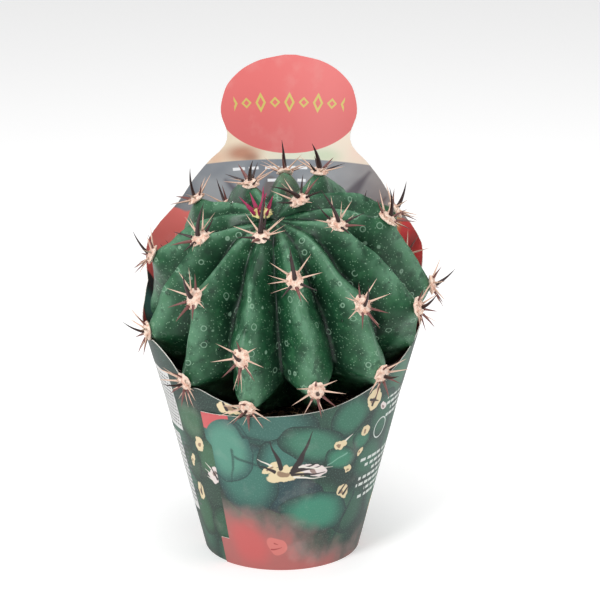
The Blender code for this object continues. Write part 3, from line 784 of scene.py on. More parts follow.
def spine_plan(colatitude):
    """An areole's spines: side, turn from down the rib, rise, length, thickness and bend."""
    age = eased(colatitude / 90.0)
    strength = 1.1 - 0.35 * age
    horn = HORN_LENGTH * strength
    lower = LOWER_LENGTH * (1.05 - 0.15 * age)
    thick = LOWER_THICKNESS * (1.1 - 0.2 * age)
    return [
        (None, 180.0, 66.0, horn, HORN_THICKNESS * strength, 0.35),
        (0, 0.0, 32.0, lower, thick, -0.10),
        (1, 45.0, 26.0, 0.92 * lower, 0.8 * thick, -0.05),
        (7, -45.0, 26.0, 0.92 * lower, 0.8 * thick, -0.05),
        (4, 180.0, 30.0, 0.80 * lower, 0.8 * thick, 0.10),
        (2, 84.0, 24.0, NEEDLE_LENGTH, NEEDLE_THICKNESS, 0.0),
        (6, -84.0, 24.0, NEEDLE_LENGTH, NEEDLE_THICKNESS, 0.0),
        (3, 128.0, 28.0, NEEDLE_LENGTH, NEEDLE_THICKNESS, 0.0),
        (5, -128.0, 28.0, NEEDLE_LENGTH, NEEDLE_THICKNESS, 0.0),
    ]


def crown_plan():
    """The newest areole's spines, all standing close to upright."""
    return [
        (None, 180.0, 80.0, 0.70 * HORN_LENGTH, HORN_THICKNESS, 0.15),
        (0, 0.0, 50.0, 0.90 * LOWER_LENGTH, LOWER_THICKNESS, 0.05),
        (2, 90.0, 58.0, 0.90 * LOWER_LENGTH, LOWER_THICKNESS, 0.05),
        (6, -90.0, 58.0, 0.90 * LOWER_LENGTH, LOWER_THICKNESS, 0.05),
        (1, 45.0, 55.0, 0.75 * LOWER_LENGTH, LOWER_THICKNESS, 0.0),
        (7, -45.0, 55.0, 0.75 * LOWER_LENGTH, LOWER_THICKNESS, 0.0),
        (3, 135.0, 62.0, 0.65 * LOWER_LENGTH, LOWER_THICKNESS, 0.0),
        (5, -135.0, 62.0, 0.65 * LOWER_LENGTH, LOWER_THICKNESS, 0.0),
    ]


def grown_length(spine, sited, points):
    """How long the CAD spine grew before it met something, read from where its tip is."""
    for step in range(20, 1, -1):
        length = spine[3] * step / 20
        tip = sited @ spine_line(spine, length)(1.0)
        if min((tip - point).length for point in points) < 0.0003:
            return length
    return 0.0


def horn_finish(name, root_ink, middle_ink, tip_ink, tip_start):
    """Horny spine: dark at its root, paler at its tip, with faint rings round it."""
    made, tree, shader = new_finish(name, 0.42)
    own = node(tree, "ShaderNodeUVMap", uv_map="UVMap").outputs["UV"]
    parts = node(tree, "ShaderNodeSeparateXYZ", {"Vector": own})
    along = parts.outputs["Y"]
    place = object_place(tree)
    streaks = grained(tree, place, 900.0, 3.0)
    shifted = plus(tree, along, ramped(tree, parts.outputs["X"], 0.0, 1.0, -0.12, 0.12))
    shifted = plus(tree, shifted, ramped(tree, streaks, 0.3, 0.7, -0.08, 0.08))
    tint = mixed(tree, ramped(tree, shifted, 0.0, 0.34), root_ink, middle_ink)
    tint = mixed(tree, ramped(tree, shifted, tip_start, tip_start + 0.35), tint, tip_ink)
    tint = mixed(tree, ramped(tree, streaks, 0.58, 0.75, 0.0, 0.25), tint, root_ink)
    tree.links.new(tint, shader.inputs["Base Color"])
    rings = sums(tree, "SINE", times(tree, along, 95.0))
    bumped(tree, shader, 0.25, 0.0002, rings)
    return made


def wool_finish(name, pale_ink, warm_ink, pit_ink):
    """Felted wool, browner down in the pits round the spines, and darker on the cushion's underside, which is
    painted shade.
    """
    made, tree, shader = new_finish(name, 0.92)
    own = node(tree, "ShaderNodeUVMap", uv_map="UVMap").outputs["UV"]
    pit = node(tree, "ShaderNodeSeparateXYZ", {"Vector": own}).outputs["X"]
    place = object_place(tree)
    tufts = grained(tree, place, 420.0, 5.0)
    felt = grained(tree, place, 3200.0, 4.0)
    tint = mixed(tree, ramped(tree, tufts, 0.40, 0.66), pale_ink, warm_ink)
    tint = mixed(tree, ramped(tree, felt, 0.55, 0.75, 0.0, 0.35), tint, pit_ink)
    # U darkens the pits round the spines, and the cushion's underside as painted shade
    tint = mixed(tree, ramped(tree, pit, 0.30, 0.85), tint, pit_ink)
    tree.links.new(tint, shader.inputs["Base Color"])
    shader.inputs["Sheen Weight"].default_value = 0.25
    bumped(tree, shader, 0.7, 0.0004, felt)
    return made


wool = wool_finish("cream_wool", ink(244, 220, 202), ink(224, 178, 156), ink(70, 42, 34))
young_wool = wool_finish("young_wool", ink(226, 214, 150), ink(196, 178, 96), ink(110, 96, 50))
dark_horn = horn_finish("dark_horn", ink(44, 22, 22), ink(78, 42, 38), ink(126, 86, 72), 0.74)
pink_horn = horn_finish("pink_horn", ink(112, 66, 62), ink(206, 166, 152), ink(242, 230, 212), 0.32)
ivory_needle = horn_finish("ivory_needle", ink(212, 178, 158), ink(244, 232, 214), ink(250, 244, 232), 0.36)
magenta_spine = horn_finish("magenta_spine", ink(158, 40, 84), ink(172, 20, 88), ink(120, 12, 62), 0.60)

start_piece()
bpy.ops.mesh.primitive_uv_sphere_add(segments=40, ring_count=22, radius=1.0)
felt_ball = bpy.context.object
felt_shape = take_shape(felt_ball)
spine_shape = model_strand(8, 14)
hair_shape = model_strand(3, 3)
card_before = surface_of(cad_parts["card_sleeve"])
pot_before = surface_of(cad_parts["plastic_pot"])


def pits_of(plan, seed):
    """Where a cushion is dented and coloured darker: round its horn and inside of its stoutest spines."""
    chance = random.Random(seed)
    pits = [(spine_root(None), 0.0021)]
    for spine in plan[1:5]:
        spot = cushion_edge(45.0 * spine[0] + chance.uniform(-9.0, 9.0), 0.56, 0.85 * CUSHION_HEIGHT)
        pits.append((spot, chance.uniform(0.0012, 0.0019)))
    return pits


def lay_cushion(bm, sited, plan, seed):
    """Copy the felt ball as an oval pad, dented round each spine."""
    marks = bm.loops.layers.uv.verify()
    roots = pits_of(plan, seed)
    shades = []
    made = []
    for vertex in felt_shape.vertices:
        x, y, z = vertex.co
        lumpy = 1.0 + 0.10 * noise.noise(vertex.co * 2.3 + Vector((seed, 0.0, 0.0)))
        lumpy += 0.05 * noise.noise(vertex.co * 6.1 + Vector((0.0, seed, 0.0)))
        around = math.atan2(x, -y)
        lumpy *= 1.0 + (0.07 * math.cos(8.0 * around) + 0.04 * math.cos(3.0 * around + seed)) * (1.0 - abs(z))
        full = 1.0 - 0.25 * max(z, 0.0)
        across = 0.5 * CUSHION_WIDTH * 1.04 * x * lumpy * full
        rising = 0.5 * CUSHION_LENGTH * 1.04 * y * lumpy * full
        height = CUSHION_HEIGHT * (1.05 * z * lumpy if z > 0.0 else 0.55 * z)
        point = Vector((across, rising, height))
        pit = max(eased(1.0 - (point - root).length / reach) for root, reach in roots)
        point -= point.normalized() * (0.0006 * pit)
        # darker round the spine pits; the cushion's underside, down against the skin, gets a fixed darkness
        # that is painted shade
        shades.append(pit * (0.55 + 0.45 * noise.noise(vertex.co * 5.0)) if z > -0.2 else 0.6)
        made.append(bm.verts.new(sited @ point))
    for face in felt_shape.polygons:
        drawn = bm.faces.new([made[index] for index in face.vertices])
        drawn.smooth = True
        for loop, index in zip(drawn.loops, face.vertices):
            loop[marks].uv = (shades[index], 0.5)


def free_share(path, thickness):
    """How far along its path a thin needle can grow before it would touch skin, card or pot."""
    for step in range(3, 21):
        point = path(step / 20)
        room = min(tree.find_nearest(point)[3] for tree in (stem_skin, card_before, pot_before))
        if room < thickness:
            return (step - 2) / 20
    return 1.0


def grow_areole(node_name, rib, colatitude, newest, seed):
    """Build one areole with its spines in place of its CAD node."""
    chance = random.Random(seed)
    sited = areole_frame(rib, colatitude)
    plan = crown_plan() if newest else spine_plan(colatitude)
    points = [vertex.co.copy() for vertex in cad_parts[node_name].data.vertices]
    bm = bmesh.new()
    lay_cushion(bm, sited, plan, seed)
    reference = sited.to_3x3() @ Vector((0.31, 0.11, 0.94))
    for spine in plan:
        length = grown_length(spine, sited, points)
        if length < 2.0 * spine[4]:
            continue
        line = spine_line(spine, length)
        thick = spine[4]
        strong = spine[0] is None
        thin = thick <= NEEDLE_THICKNESS
        kind = 1 if strong else (3 if thin else 2)
        if not newest and colatitude < 34.0 and not thin and spine[0] in (4, 1, 7):
            kind = 1
        if newest:
            kind = 1
        power = 0.75 if strong else 0.85
        thick *= 1.45 if newest else (1.18 if strong else 1.22)
        path = lambda share, line=line: sited @ line(share)
        width = lambda share, thick=thick, power=power: 0.5 * thick * max(1.0 - share, 0.02) ** power
        lay_strand(bm, spine_shape, path, width, kind, chance.random(), 0.72 if not thin else 1.0, reference)
    # thin needles between the others
    for turn in (22.0, -22.0, 64.0, -64.0, 106.0, -106.0, 152.0, -152.0):
        if newest or chance.random() < 0.62:
            continue
        needle = (
            round(turn / 45.0) % 8,
            turn + chance.uniform(-12.0, 12.0),
            chance.uniform(14.0, 38.0),
            0.0,
            0.0,
            chance.uniform(-0.12, 0.12),
        )
        length = NEEDLE_LENGTH * chance.uniform(0.55, 1.05)
        line = spine_line(needle, length)
        share = free_share(lambda part: sited @ line(part), 0.0007)
        if share < 0.35:
            continue
        path = lambda part, line=line, share=share: sited @ line(part * share)
        thick = chance.uniform(0.00055, 0.00085)
        width = lambda part, thick=thick: 0.5 * thick * max(1.0 - part, 0.03) ** 0.8
        lay_strand(bm, spine_shape, path, width, 3, chance.random(), 1.0, reference)
    # short hairs of wool standing out of the cushion
    for _ in range(HAIRS):
        turn = chance.uniform(0.0, 360.0)
        share = math.sqrt(chance.uniform(0.05, 1.0))
        height = CUSHION_HEIGHT * 0.85 * math.sqrt(max(1.0 - share * share, 0.05))
        root = cushion_edge(turn, share * 0.96, height)
        out = (cushion_edge(turn, share, 0.0006) * 0.8 + up * 0.0022).normalized()
        out += Vector((chance.uniform(-0.7, 0.7), chance.uniform(-0.7, 0.7), chance.uniform(-0.3, 0.3)))
        reach = chance.uniform(0.0006, 0.0014)
        sag = Vector((chance.uniform(-1.0, 1.0), chance.uniform(-1.0, 1.0), 0.0)) * reach * 0.4
        path = lambda part, root=root, out=out, reach=reach, sag=sag: sited @ (
            root + out * (reach * part) + sag * (part * part)
        )
        lay_strand(bm, hair_shape, path, lambda part: 0.00007 * (1.0 - 0.8 * part), 0, 0.05 * chance.random())
    name = "crown_areole" if newest else node_name.replace("spine_cluster", "areole")
    finishes = [young_wool, magenta_spine] if newest else [wool, dark_horn, pink_horn, ivory_needle]
    piece = make_piece(name, bm, finishes)
    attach(piece, "root")
    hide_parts(node_name)


for rib in range(RIB_COUNT):
    for number, colatitude in enumerate(all_areoles[rib]):
        newest = rib == 0 and number == 0
        node_name = "crown_spines" if newest else f"spine_cluster_{rib + 1:02d}_{number + 1}"
        if node_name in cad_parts:
            grow_areole(node_name, rib, colatitude, newest, 100 * rib + number)


# ------------------------------------------------------------------ card sleeve
# One sheet of coated card, printed on both sides, wound once round the pot with its outer end
# lapped over its inner end at the front left. At the back it rises to a panel with an oval head.

CARD_THICKNESS = 0.0005
RIM_TO_CARD = 0.0006
STEM_TO_CARD = 0.0032
PANEL_LEAN = 0.10
LAP_STEP = 0.0010
SHEET_TURN = 2.0
SEAM_TURN = 214.5
INNER_END_TURN = -174.0
SHOULDER_TURN = 71.0
SHOULDER_HEIGHT = 0.1450
MM_PER_DEGREE = 1.2

# Half the back panel's width in degrees round the pot, at each height above the rim
panel_half_width = [
    (0.0530, 71.0),
    (0.0610, 68.5),
    (0.0710, 64.0),
    (0.0770, 56.0),
    (0.0870, 41.5),
    (0.0980, 33.0),
    (0.1070, 26.0),
    (0.1140, 20.4),
    (0.1200, 19.1),
    (0.1320, 20.5),
    (0.1450, 18.5),
    (0.1540, 14.2),
    (0.1600, 8.5),
    (0.1630, 1.5),
]
# The top edge above the rim beyond the panel's shoulders, by degrees from the back's middle
right_edge = [
    (71.0, 0.0530),
    (82.0, 0.0445),
    (98.0, 0.0380),
    (112.0, 0.0295),
    (134.0, 0.0170),
    (162.0, 0.0080),
    (215.0, 0.0035),
]
left_edge = [
    (71.0, 0.0530),
    (82.0, 0.0445),
    (100.0, 0.0385),
    (120.0, 0.0360),
    (134.0, 0.0250),
    (146.0, 0.0165),
    (174.0, 0.0060),
]


def along(points, x):
    """Read a smooth curve through (x, y) points that stays level where its slope changes sign."""
    if x <= points[0][0]:
        return points[0][1]
    if x >= points[-1][0]:
        return points[-1][1]
    slopes = [(b[1] - a[1]) / (b[0] - a[0]) for a, b in zip(points, points[1:])]
    after = next(i for i, point in enumerate(points) if point[0] > x)
    before = after - 1
    (x0, y0), (x1, y1) = points[before], points[after]
    tangents = []
    for index in (before, after):
        low = slopes[max(index - 1, 0)]
        high = slopes[min(index, len(slopes) - 1)]
        tangents.append(2.0 * low * high / (low + high) if low * high > 0.0 else 0.0)
    t = (x - x0) / (x1 - x0)
    span = x1 - x0
    return (
        y0 * (1.0 + 2.0 * t) * (1.0 - t) ** 2
        + span * tangents[0] * t * (1.0 - t) ** 2
        + y1 * t * t * (3.0 - 2.0 * t)
        + span * tangents[1] * t * t * (t - 1.0)
    )


def card_point(turn, height):
    """A point of the sheet's inner face. turn runs in degrees from the back's middle."""
    rim_radius = POT_RIM_RADIUS + RIM_TO_CARD
    taper = (POT_RIM_RADIUS - POT_BASE_RADIUS) / POT_HEIGHT
    flare = (STEM_RADIUS + STEM_TO_CARD - rim_radius) / (stem_centre.z - POT_HEIGHT)
    above = max(height - POT_HEIGHT, 0.0)
    behind = math.cos(math.radians(turn)) ** 2 if abs(turn) < 90.0 else 0.0
    radius = rim_radius - taper * (POT_HEIGHT - min(height, POT_HEIGHT))
    radius += (flare + PANEL_LEAN * behind) * above
    radius += LAP_STEP * (turn - INNER_END_TURN) / (SEAM_TURN - INNER_END_TURN)
    angle = math.radians(turn + SHEET_TURN)
    return Vector((radius * math.sin(angle), radius * math.cos(angle), height))


def free_top(turn):
    """Height of the sheet's top edge beyond the shoulders, kept below the ribs that overhang it."""
    if abs(turn) <= SHOULDER_TURN:
        return SHOULDER_HEIGHT
    top = POT_HEIGHT + along(right_edge if turn > 0.0 else left_edge, abs(turn))
    height = POT_HEIGHT
    while height < top:
        wall = card_point(turn, height)
        outward = Vector((wall.x, wall.y, 0.0)).normalized()
        hit = stem_skin.ray_cast(wall + outward * 0.08, -outward)[0]
        if hit is not None and (hit - wall).dot(outward) > -0.0009:
            return height - 0.0010
        height += 0.0005
    return top


def seam_shift(share):
    """The outer end's cut: a tongue at the top, a straight run and a tab at the foot."""
    if share < 0.17:
        return 7.0 * eased((0.178 - share) / 0.008)
    return 3.0 * eased((share - 0.785) / 0.045)


PANEL_ROWS = 46
PANEL_STEPS = 72
LEFT_STEPS = 52
RIGHT_STEPS = 72
wall_turns = [
    INNER_END_TURN + (-SHOULDER_TURN - INNER_END_TURN) * step / LEFT_STEPS
    for step in range(LEFT_STEPS)
]
wall_turns += [-SHOULDER_TURN + 2.0 * SHOULDER_TURN * step / PANEL_STEPS for step in range(PANEL_STEPS)]
wall_turns += [
    SHOULDER_TURN + (SEAM_TURN - SHOULDER_TURN) * step / RIGHT_STEPS
    for step in range(RIGHT_STEPS + 1)
]
wall_tops = [free_top(turn) for turn in wall_turns]
for _ in range(3):
    eased_tops = wall_tops[:]
    for index in range(1, len(wall_tops) - 1):
        if abs(wall_turns[index]) > SHOULDER_TURN + 1.0:
            eased_tops[index] = min(wall_tops[index], sum(wall_tops[index - 1 : index + 2]) / 3.0)
    wall_tops = eased_tops
wall_shares = [0.0, 0.04, 0.08, 0.12, 0.155, 0.169, 0.172, 0.175, 0.178, 0.20]
wall_shares += [0.20 + 0.58 * step / 14 for step in range(1, 15)]
wall_shares += [0.79, 0.80, 0.81, 0.82, 0.83, 0.86, 0.89, 0.92, 0.95, 0.975, 1.0]


def lay_grid(name, columns, rows, placing):
    """A flat grid of card, each point then taken to its place, with its map in sheet millimetres."""
    start_piece()
    bpy.ops.mesh.primitive_grid_add(x_subdivisions=columns - 1, y_subdivisions=rows - 1, size=1.0)
    grid = bpy.context.object
    grid.name = name
    marks = grid.data.uv_layers[0].data
    spots = []
    for vertex in grid.data.vertices:
        column = round((vertex.co.x + 0.5) * (columns - 1))
        row = round((vertex.co.y + 0.5) * (rows - 1))
        turn, height = placing(column, row)
        spots.append((turn * MM_PER_DEGREE, height * 1000.0))
        vertex.co = card_point(turn, height)
    for loop in grid.data.loops:
        marks[loop.index].uv = spots[loop.vertex_index]
    return grid


def wall_place(column, row):
    """The turn and height of one point of the sheet's wall, up to its top edge."""
    share = wall_shares[row]
    shift = seam_shift(share) if column == len(wall_turns) - 1 else 0.0
    if column == len(wall_turns) - 2:
        shift = 0.5 * seam_shift(share)
    return wall_turns[column] + shift, wall_tops[column] * share


def panel_place(column, row):
    """The turn and height of one point of the back panel, from its shoulders to the head's top."""
    shoulders = panel_half_width[0][0]
    rise = panel_half_width[-1][0] - shoulders
    height = shoulders + rise * math.sin(0.5 * math.pi * row / (PANEL_ROWS - 1)) ** 1.1
    half_width = along(panel_half_width, height)
    return half_width * (2.0 * column / PANEL_STEPS - 1.0), POT_HEIGHT + height


sleeve = lay_grid("card_wrap", len(wall_turns), len(wall_shares), wall_place)
panel = lay_grid("card_panel", PANEL_STEPS + 1, PANEL_ROWS, panel_place)
start_piece()
panel.select_set(True)
sleeve.select_set(True)
bpy.context.view_layer.objects.active = sleeve
bpy.ops.object.join()
bpy.ops.object.mode_set(mode="EDIT")
bpy.ops.mesh.select_all(action="SELECT")
bpy.ops.mesh.remove_doubles(threshold=0.000005)
bpy.ops.object.mode_set(mode="OBJECT")
low_face = sleeve.data.polygons[0]
if low_face.normal.dot(Vector((low_face.center.x, low_face.center.y, 0.0))) < 0.0:
    sleeve.data.flip_normals()
thick = sleeve.modifiers.new("card_thickness", "SOLIDIFY")
thick.thickness = CARD_THICKNESS
thick.offset = 1.0
thick.use_even_offset = True
thick.material_offset = 1
thick.material_offset_rim = 2


# Print. Every shape lies in the sheet's own flat millimetres, and each is laid over the last.


def new_group(name, inputs, outputs):
    """A node group with its inputs' first values and its outputs' kinds, and its two end nodes."""
    tree = bpy.data.node_groups.new(name, "ShaderNodeTree")
    for label, value in inputs.items():
        kind = FLOAT if isinstance(value, float) else {3: VECTOR, 4: COLOUR}[len(value)]
        socket = tree.interface.new_socket(label, in_out="INPUT", socket_type=kind)
        socket.default_value = value
    for label, kind in outputs.items():
        tree.interface.new_socket(label, in_out="OUTPUT", socket_type=kind)
    return tree, node(tree, "NodeGroupInput").outputs, node(tree, "NodeGroupOutput").inputs


FLOAT = "NodeSocketFloat"
VECTOR = "NodeSocketVector"
COLOUR = "NodeSocketColor"
SHEET_PLACE = {"Across": 0.0, "Up": 0.0}
OVAL_SHAPE = {"Centre Across": 0.0, "Centre Up": 0.0, "Half Width": 1.0, "Half Height": 1.0, "Turn": 0.0}

# printed_oval: a share that is 1 inside a turned oval, and how deep inside it a place is
oval_inputs = {**SHEET_PLACE, **OVAL_SHAPE, "Softness": 0.05}
tree, into, out_of = new_group("printed_oval", oval_inputs, {"Mask": FLOAT, "Depth": FLOAT})
beside = minus(tree, into["Across"], into["Centre Across"])
above = minus(tree, into["Up"], into["Centre Up"])
level = sums(tree, "COSINE", into["Turn"])
tipped = sums(tree, "SINE", into["Turn"])
run = sums(tree, "MULTIPLY_ADD", above, tipped, times(tree, beside, level))
rise = minus(tree, times(tree, above, level), times(tree, beside, tipped))
run = sums(tree, "DIVIDE", run, into["Half Width"])
rise = sums(tree, "DIVIDE", rise, into["Half Height"])
reach = sums(tree, "SQRT", sums(tree, "MULTIPLY_ADD", run, run, times(tree, rise, rise)))
edge_in = minus(tree, 1.0, into["Softness"])
tree.links.new(ramped(tree, reach, 1.0, edge_in), out_of["Mask"])
tree.links.new(minus(tree, 1.0, reach), out_of["Depth"])
oval_group = tree

# printed_lobe: one swelling of a magnified cactus, dark round its edge and pale in its middle
lobe_inputs = {
    "Below": (0.0, 0.0, 0.0, 1.0),
    **SHEET_PLACE,
    **OVAL_SHAPE,
    "Tint": (0.1, 0.3, 0.2, 1.0),
    "Shade": (0.02, 0.06, 0.05, 1.0),
}
tree, into, out_of = new_group("printed_lobe", lobe_inputs, {"Colour": COLOUR})
oval = node(tree, "ShaderNodeGroup", {}, node_tree=oval_group)
for label in (*SHEET_PLACE, *OVAL_SHAPE):
    tree.links.new(into[label], oval.inputs[label])
oval.inputs["Softness"].default_value = 0.04
swell = ramped(tree, oval.outputs["Depth"], -0.06, 0.58)
body = mixed(tree, swell, into["Shade"], into["Tint"])
rim = ramped(tree, oval.outputs["Depth"], 0.09, 0.02, 0.0, 0.55)
body = mixed(tree, rim, body, ink(16, 34, 34))
tree.links.new(mixed(tree, oval.outputs["Mask"], into["Below"], body), out_of["Colour"])
lobe_group = tree

# printed_stroke: a straight stroke that narrows from its start to its end
stroke_inputs = {
    **SHEET_PLACE,
    "Start Across": 0.0,
    "Start Up": 0.0,
    "End Across": 1.0,
    "End Up": 1.0,
    "Start Width": 1.0,
    "End Width": 0.2,
    "Softness": 0.3,
}
tree, into, out_of = new_group("printed_stroke", stroke_inputs, {"Mask": FLOAT})
run = minus(tree, into["End Across"], into["Start Across"])
rise = minus(tree, into["End Up"], into["Start Up"])
whole = sums(tree, "MULTIPLY_ADD", run, run, times(tree, rise, rise))
beside = minus(tree, into["Across"], into["Start Across"])
above = minus(tree, into["Up"], into["Start Up"])
done = sums(tree, "MULTIPLY_ADD", beside, run, times(tree, above, rise))
part = sums(tree, "MINIMUM", sums(tree, "DIVIDE", done, whole), 1.0)
part = sums(tree, "MAXIMUM", part, 0.0)
beside = minus(tree, beside, times(tree, part, run))
above = minus(tree, above, times(tree, part, rise))
off_line = sums(tree, "MULTIPLY_ADD", beside, beside, times(tree, above, above))
off_line = sums(tree, "SQRT", off_line)
narrowing = minus(tree, into["End Width"], into["Start Width"])
half = sums(tree, "MULTIPLY_ADD", part, narrowing, into["Start Width"])
faint = plus(tree, half, into["Softness"])
solid = minus(tree, half, into["Softness"])
tree.links.new(ramped(tree, off_line, faint, solid), out_of["Mask"])
stroke_group = tree

# printed_bars: rows of plain bars of uneven length, standing in for small print
bars_inputs = {
    **SHEET_PLACE,
    "Corner Across": 0.0,
    "Corner Up": 0.0,
    "Width": 20.0,
    "Height": 20.0,
    "Row Pitch": 3.0,
    "Word Length": 5.0,
}
tree, into, out_of = new_group("printed_bars", bars_inputs, {"Mask": FLOAT})
beside = minus(tree, into["Across"], into["Corner Across"])
above = minus(tree, into["Up"], into["Corner Up"])
rows = sums(tree, "DIVIDE", above, into["Row Pitch"])
row = sums(tree, "FLOOR", rows)
in_row = sums(tree, "ABSOLUTE", minus(tree, sums(tree, "FRACT", rows), 0.5))
words = sums(tree, "MULTIPLY_ADD", row, 0.37, sums(tree, "DIVIDE", beside, into["Word Length"]))
word_number = sums(tree, "MULTIPLY_ADD", row, 41.0, sums(tree, "FLOOR", words))
luck = node(tree, "ShaderNodeTexWhiteNoise", {"W": word_number}, noise_dimensions="1D").outputs["Value"]
gap = minus(tree, sums(tree, "FRACT", words), sums(tree, "MULTIPLY_ADD", luck, 0.35, 0.55))
row_luck = node(tree, "ShaderNodeTexWhiteNoise", {"W": row}, noise_dimensions="1D").outputs["Value"]
row_end = times(tree, into["Width"], sums(tree, "MULTIPLY_ADD", row_luck, 0.35, 0.65))
mask = times(tree, ramped(tree, in_row, 0.27, 0.20), ramped(tree, gap, 0.03, -0.03))
mask = times(tree, mask, sums(tree, "GREATER_THAN", beside, 0.0))
mask = times(tree, mask, sums(tree, "LESS_THAN", beside, row_end))
mask = times(tree, mask, sums(tree, "GREATER_THAN", above, 0.0))
mask = times(tree, mask, sums(tree, "LESS_THAN", above, into["Height"]))
tree.links.new(mask, out_of["Mask"])
bars_group = tree

# card_grain: the faint tooth of coated card and its scuffs
tree, into, out_of = new_group("card_grain", {"Place": (0.0, 0.0, 0.0)}, {"Tooth": FLOAT, "Scuff": FLOAT})
tooth = grained(tree, into["Place"], 2600.0, 3.0)
scuff = grained(tree, into["Place"], 60.0, 8.0)
tree.links.new(tooth, out_of["Tooth"])
tree.links.new(ramped(tree, scuff, 0.56, 0.72), out_of["Scuff"])
grain_group = tree


def printed(tree, group, sheet, settings, links=None):
    """Place one print group on the sheet. sheet is a pair: millimetres across and up."""
    made = node(tree, "ShaderNodeGroup", {}, node_tree=group)
    tree.links.new(sheet[0], made.inputs["Across"])
    tree.links.new(sheet[1], made.inputs["Up"])
    for label, value in settings.items():
        made.inputs[label].default_value = value
    for label, socket in (links or {}).items():
        tree.links.new(socket, made.inputs[label])
    return made.outputs[0]


def oval_size(turn, height, wide, tall, tilt):
    """An oval's place and half sizes. turn is in degrees from the back's middle, the rest in mm."""
    return {
        "Centre Across": turn * MM_PER_DEGREE,
        "Centre Up": height,
        "Half Width": wide,
        "Half Height": tall,
        "Turn": math.radians(tilt),
    }


def printed_oval(tree, sheet, turn, height, wide, tall, tilt=0.0, soft=0.06):
    """The share of an oval that covers a place."""
    return printed(tree, oval_group, sheet, {**oval_size(turn, height, wide, tall, tilt), "Softness": soft})


def printed_lobe(tree, sheet, below, turn, height, wide, tall, tilt, tint, shade):
    """One swelling laid over what is below it."""
    sizes = oval_size(turn, height, wide, tall, tilt)
    return printed(tree, lobe_group, sheet, {**sizes, "Tint": tint, "Shade": shade}, {"Below": below})


def printed_stroke(tree, sheet, start, end, wide, narrow, soft=0.25):
    """The share of a narrowing stroke between two places on the sheet."""
    settings = {
        "Start Across": start[0] * MM_PER_DEGREE,
        "Start Up": start[1],
        "End Across": end[0] * MM_PER_DEGREE,
        "End Up": end[1],
        "Start Width": wide,
        "End Width": narrow,
        "Softness": soft,
    }
    return printed(tree, stroke_group, sheet, settings)


def printed_bars(tree, sheet, turn, height, width, tall, pitch, word):
    """A block of plain bars, by its lower left corner."""
    settings = {
        "Corner Across": turn * MM_PER_DEGREE,
        "Corner Up": height,
        "Width": width,
        "Height": tall,
        "Row Pitch": pitch,
        "Word Length": word,
    }
    return printed(tree, bars_group, sheet, settings)


def wavering(tree, flat_map, sheet, amount, scale, seed):
    """The sheet's own map with a slow waver, so that printed shapes aren't exact ovals."""
    wavered = []
    for way, across in enumerate(sheet):
        drift = node(
            tree,
            "ShaderNodeTexNoise",
            {"Vector": flat_map, "W": seed + 7.3 * way, "Scale": scale, "Detail": 2.0},
            noise_dimensions="4D",
        ).outputs["Fac"]
        wavered.append(sums(tree, "MULTIPLY_ADD", minus(tree, drift, 0.5), amount, across))
    return wavered


def finish_card(tree, shader, tint, place):
    """Coated card: a slight gloss, a faint tooth and a few pale scuffs."""
    grain = node(tree, "ShaderNodeGroup", {"Place": place}, node_tree=grain_group)
    scuffed = mixed(tree, times(tree, grain.outputs["Scuff"], 0.07), tint, ink(226, 222, 214))
    tree.links.new(scuffed, shader.inputs["Base Color"])
    tree.links.new(ramped(tree, grain.outputs["Scuff"], 0.0, 1.0, 0.54, 0.64), shader.inputs["Roughness"])
    bumped(tree, shader, 0.10, 0.0001, grain.outputs["Tooth"])


def printed_header(tree, sheet, below):
    """The coral oval head with its row of plain gold lozenges."""
    coral = mixed(tree, ramped(tree, sheet[1], 205.0, 250.0), ink(202, 97, 96), ink(210, 103, 101))
    oval = printed_oval(tree, sheet, 0.0, 228.0, 26.5, 28.0, 0.0, 0.012)
    below = mixed(tree, oval, below, coral)
    across = sums(tree, "DIVIDE", sheet[0], 5.0)
    in_cell = sums(tree, "ABSOLUTE", minus(tree, sums(tree, "FRACT", plus(tree, across, 0.5)), 0.5))
    number = sums(tree, "FLOOR", plus(tree, across, 0.5))
    odd = sums(tree, "ABSOLUTE", sums(tree, "MODULO", number, 2.0))
    rise = sums(tree, "ABSOLUTE", minus(tree, sheet[1], 228.5))
    tall = sums(tree, "MULTIPLY_ADD", odd, -2.6, 5.6)
    lozenge = plus(tree, sums(tree, "DIVIDE", in_cell, 0.36), sums(tree, "DIVIDE", rise, tall))
    hollow = sums(tree, "ABSOLUTE", minus(tree, lozenge, 0.78))
    drawn = ramped(tree, hollow, 0.26, 0.20)
    within = sums(tree, "LESS_THAN", sums(tree, "ABSOLUTE", sheet[0]), 19.5)
    return mixed(tree, times(tree, drawn, within), below, ink(192, 178, 92))


outer_print, tree, shader = new_finish("outer_print", 0.4)
flat_map = node(tree, "ShaderNodeUVMap", uv_map="UVMap").outputs["UV"]
place = object_place(tree)
split = node(tree, "ShaderNodeSeparateXYZ", {"Vector": flat_map})
sheet_x = split.outputs["X"]
sheet_y = split.outputs["Y"]
plain_sheet = (sheet_x, sheet_y)
cells = node(tree, "ShaderNodeTexVoronoi", {"Vector": flat_map, "Scale": 0.034, "Randomness": 0.75})
sheet = wavering(tree, flat_map, plain_sheet, 9.0, 0.045, 1.0)
sheet = [sums(tree, "MULTIPLY_ADD", cells.outputs["Distance"], 0.5, way) for way in sheet]
teal = ink(60, 118, 104)
light_teal = ink(88, 150, 130)
green = ink(58, 118, 88)
deep = ink(20, 50, 46)
dusk = ink(22, 42, 50)
leaf = ink(60, 104, 72)
dark_leaf = ink(20, 44, 32)

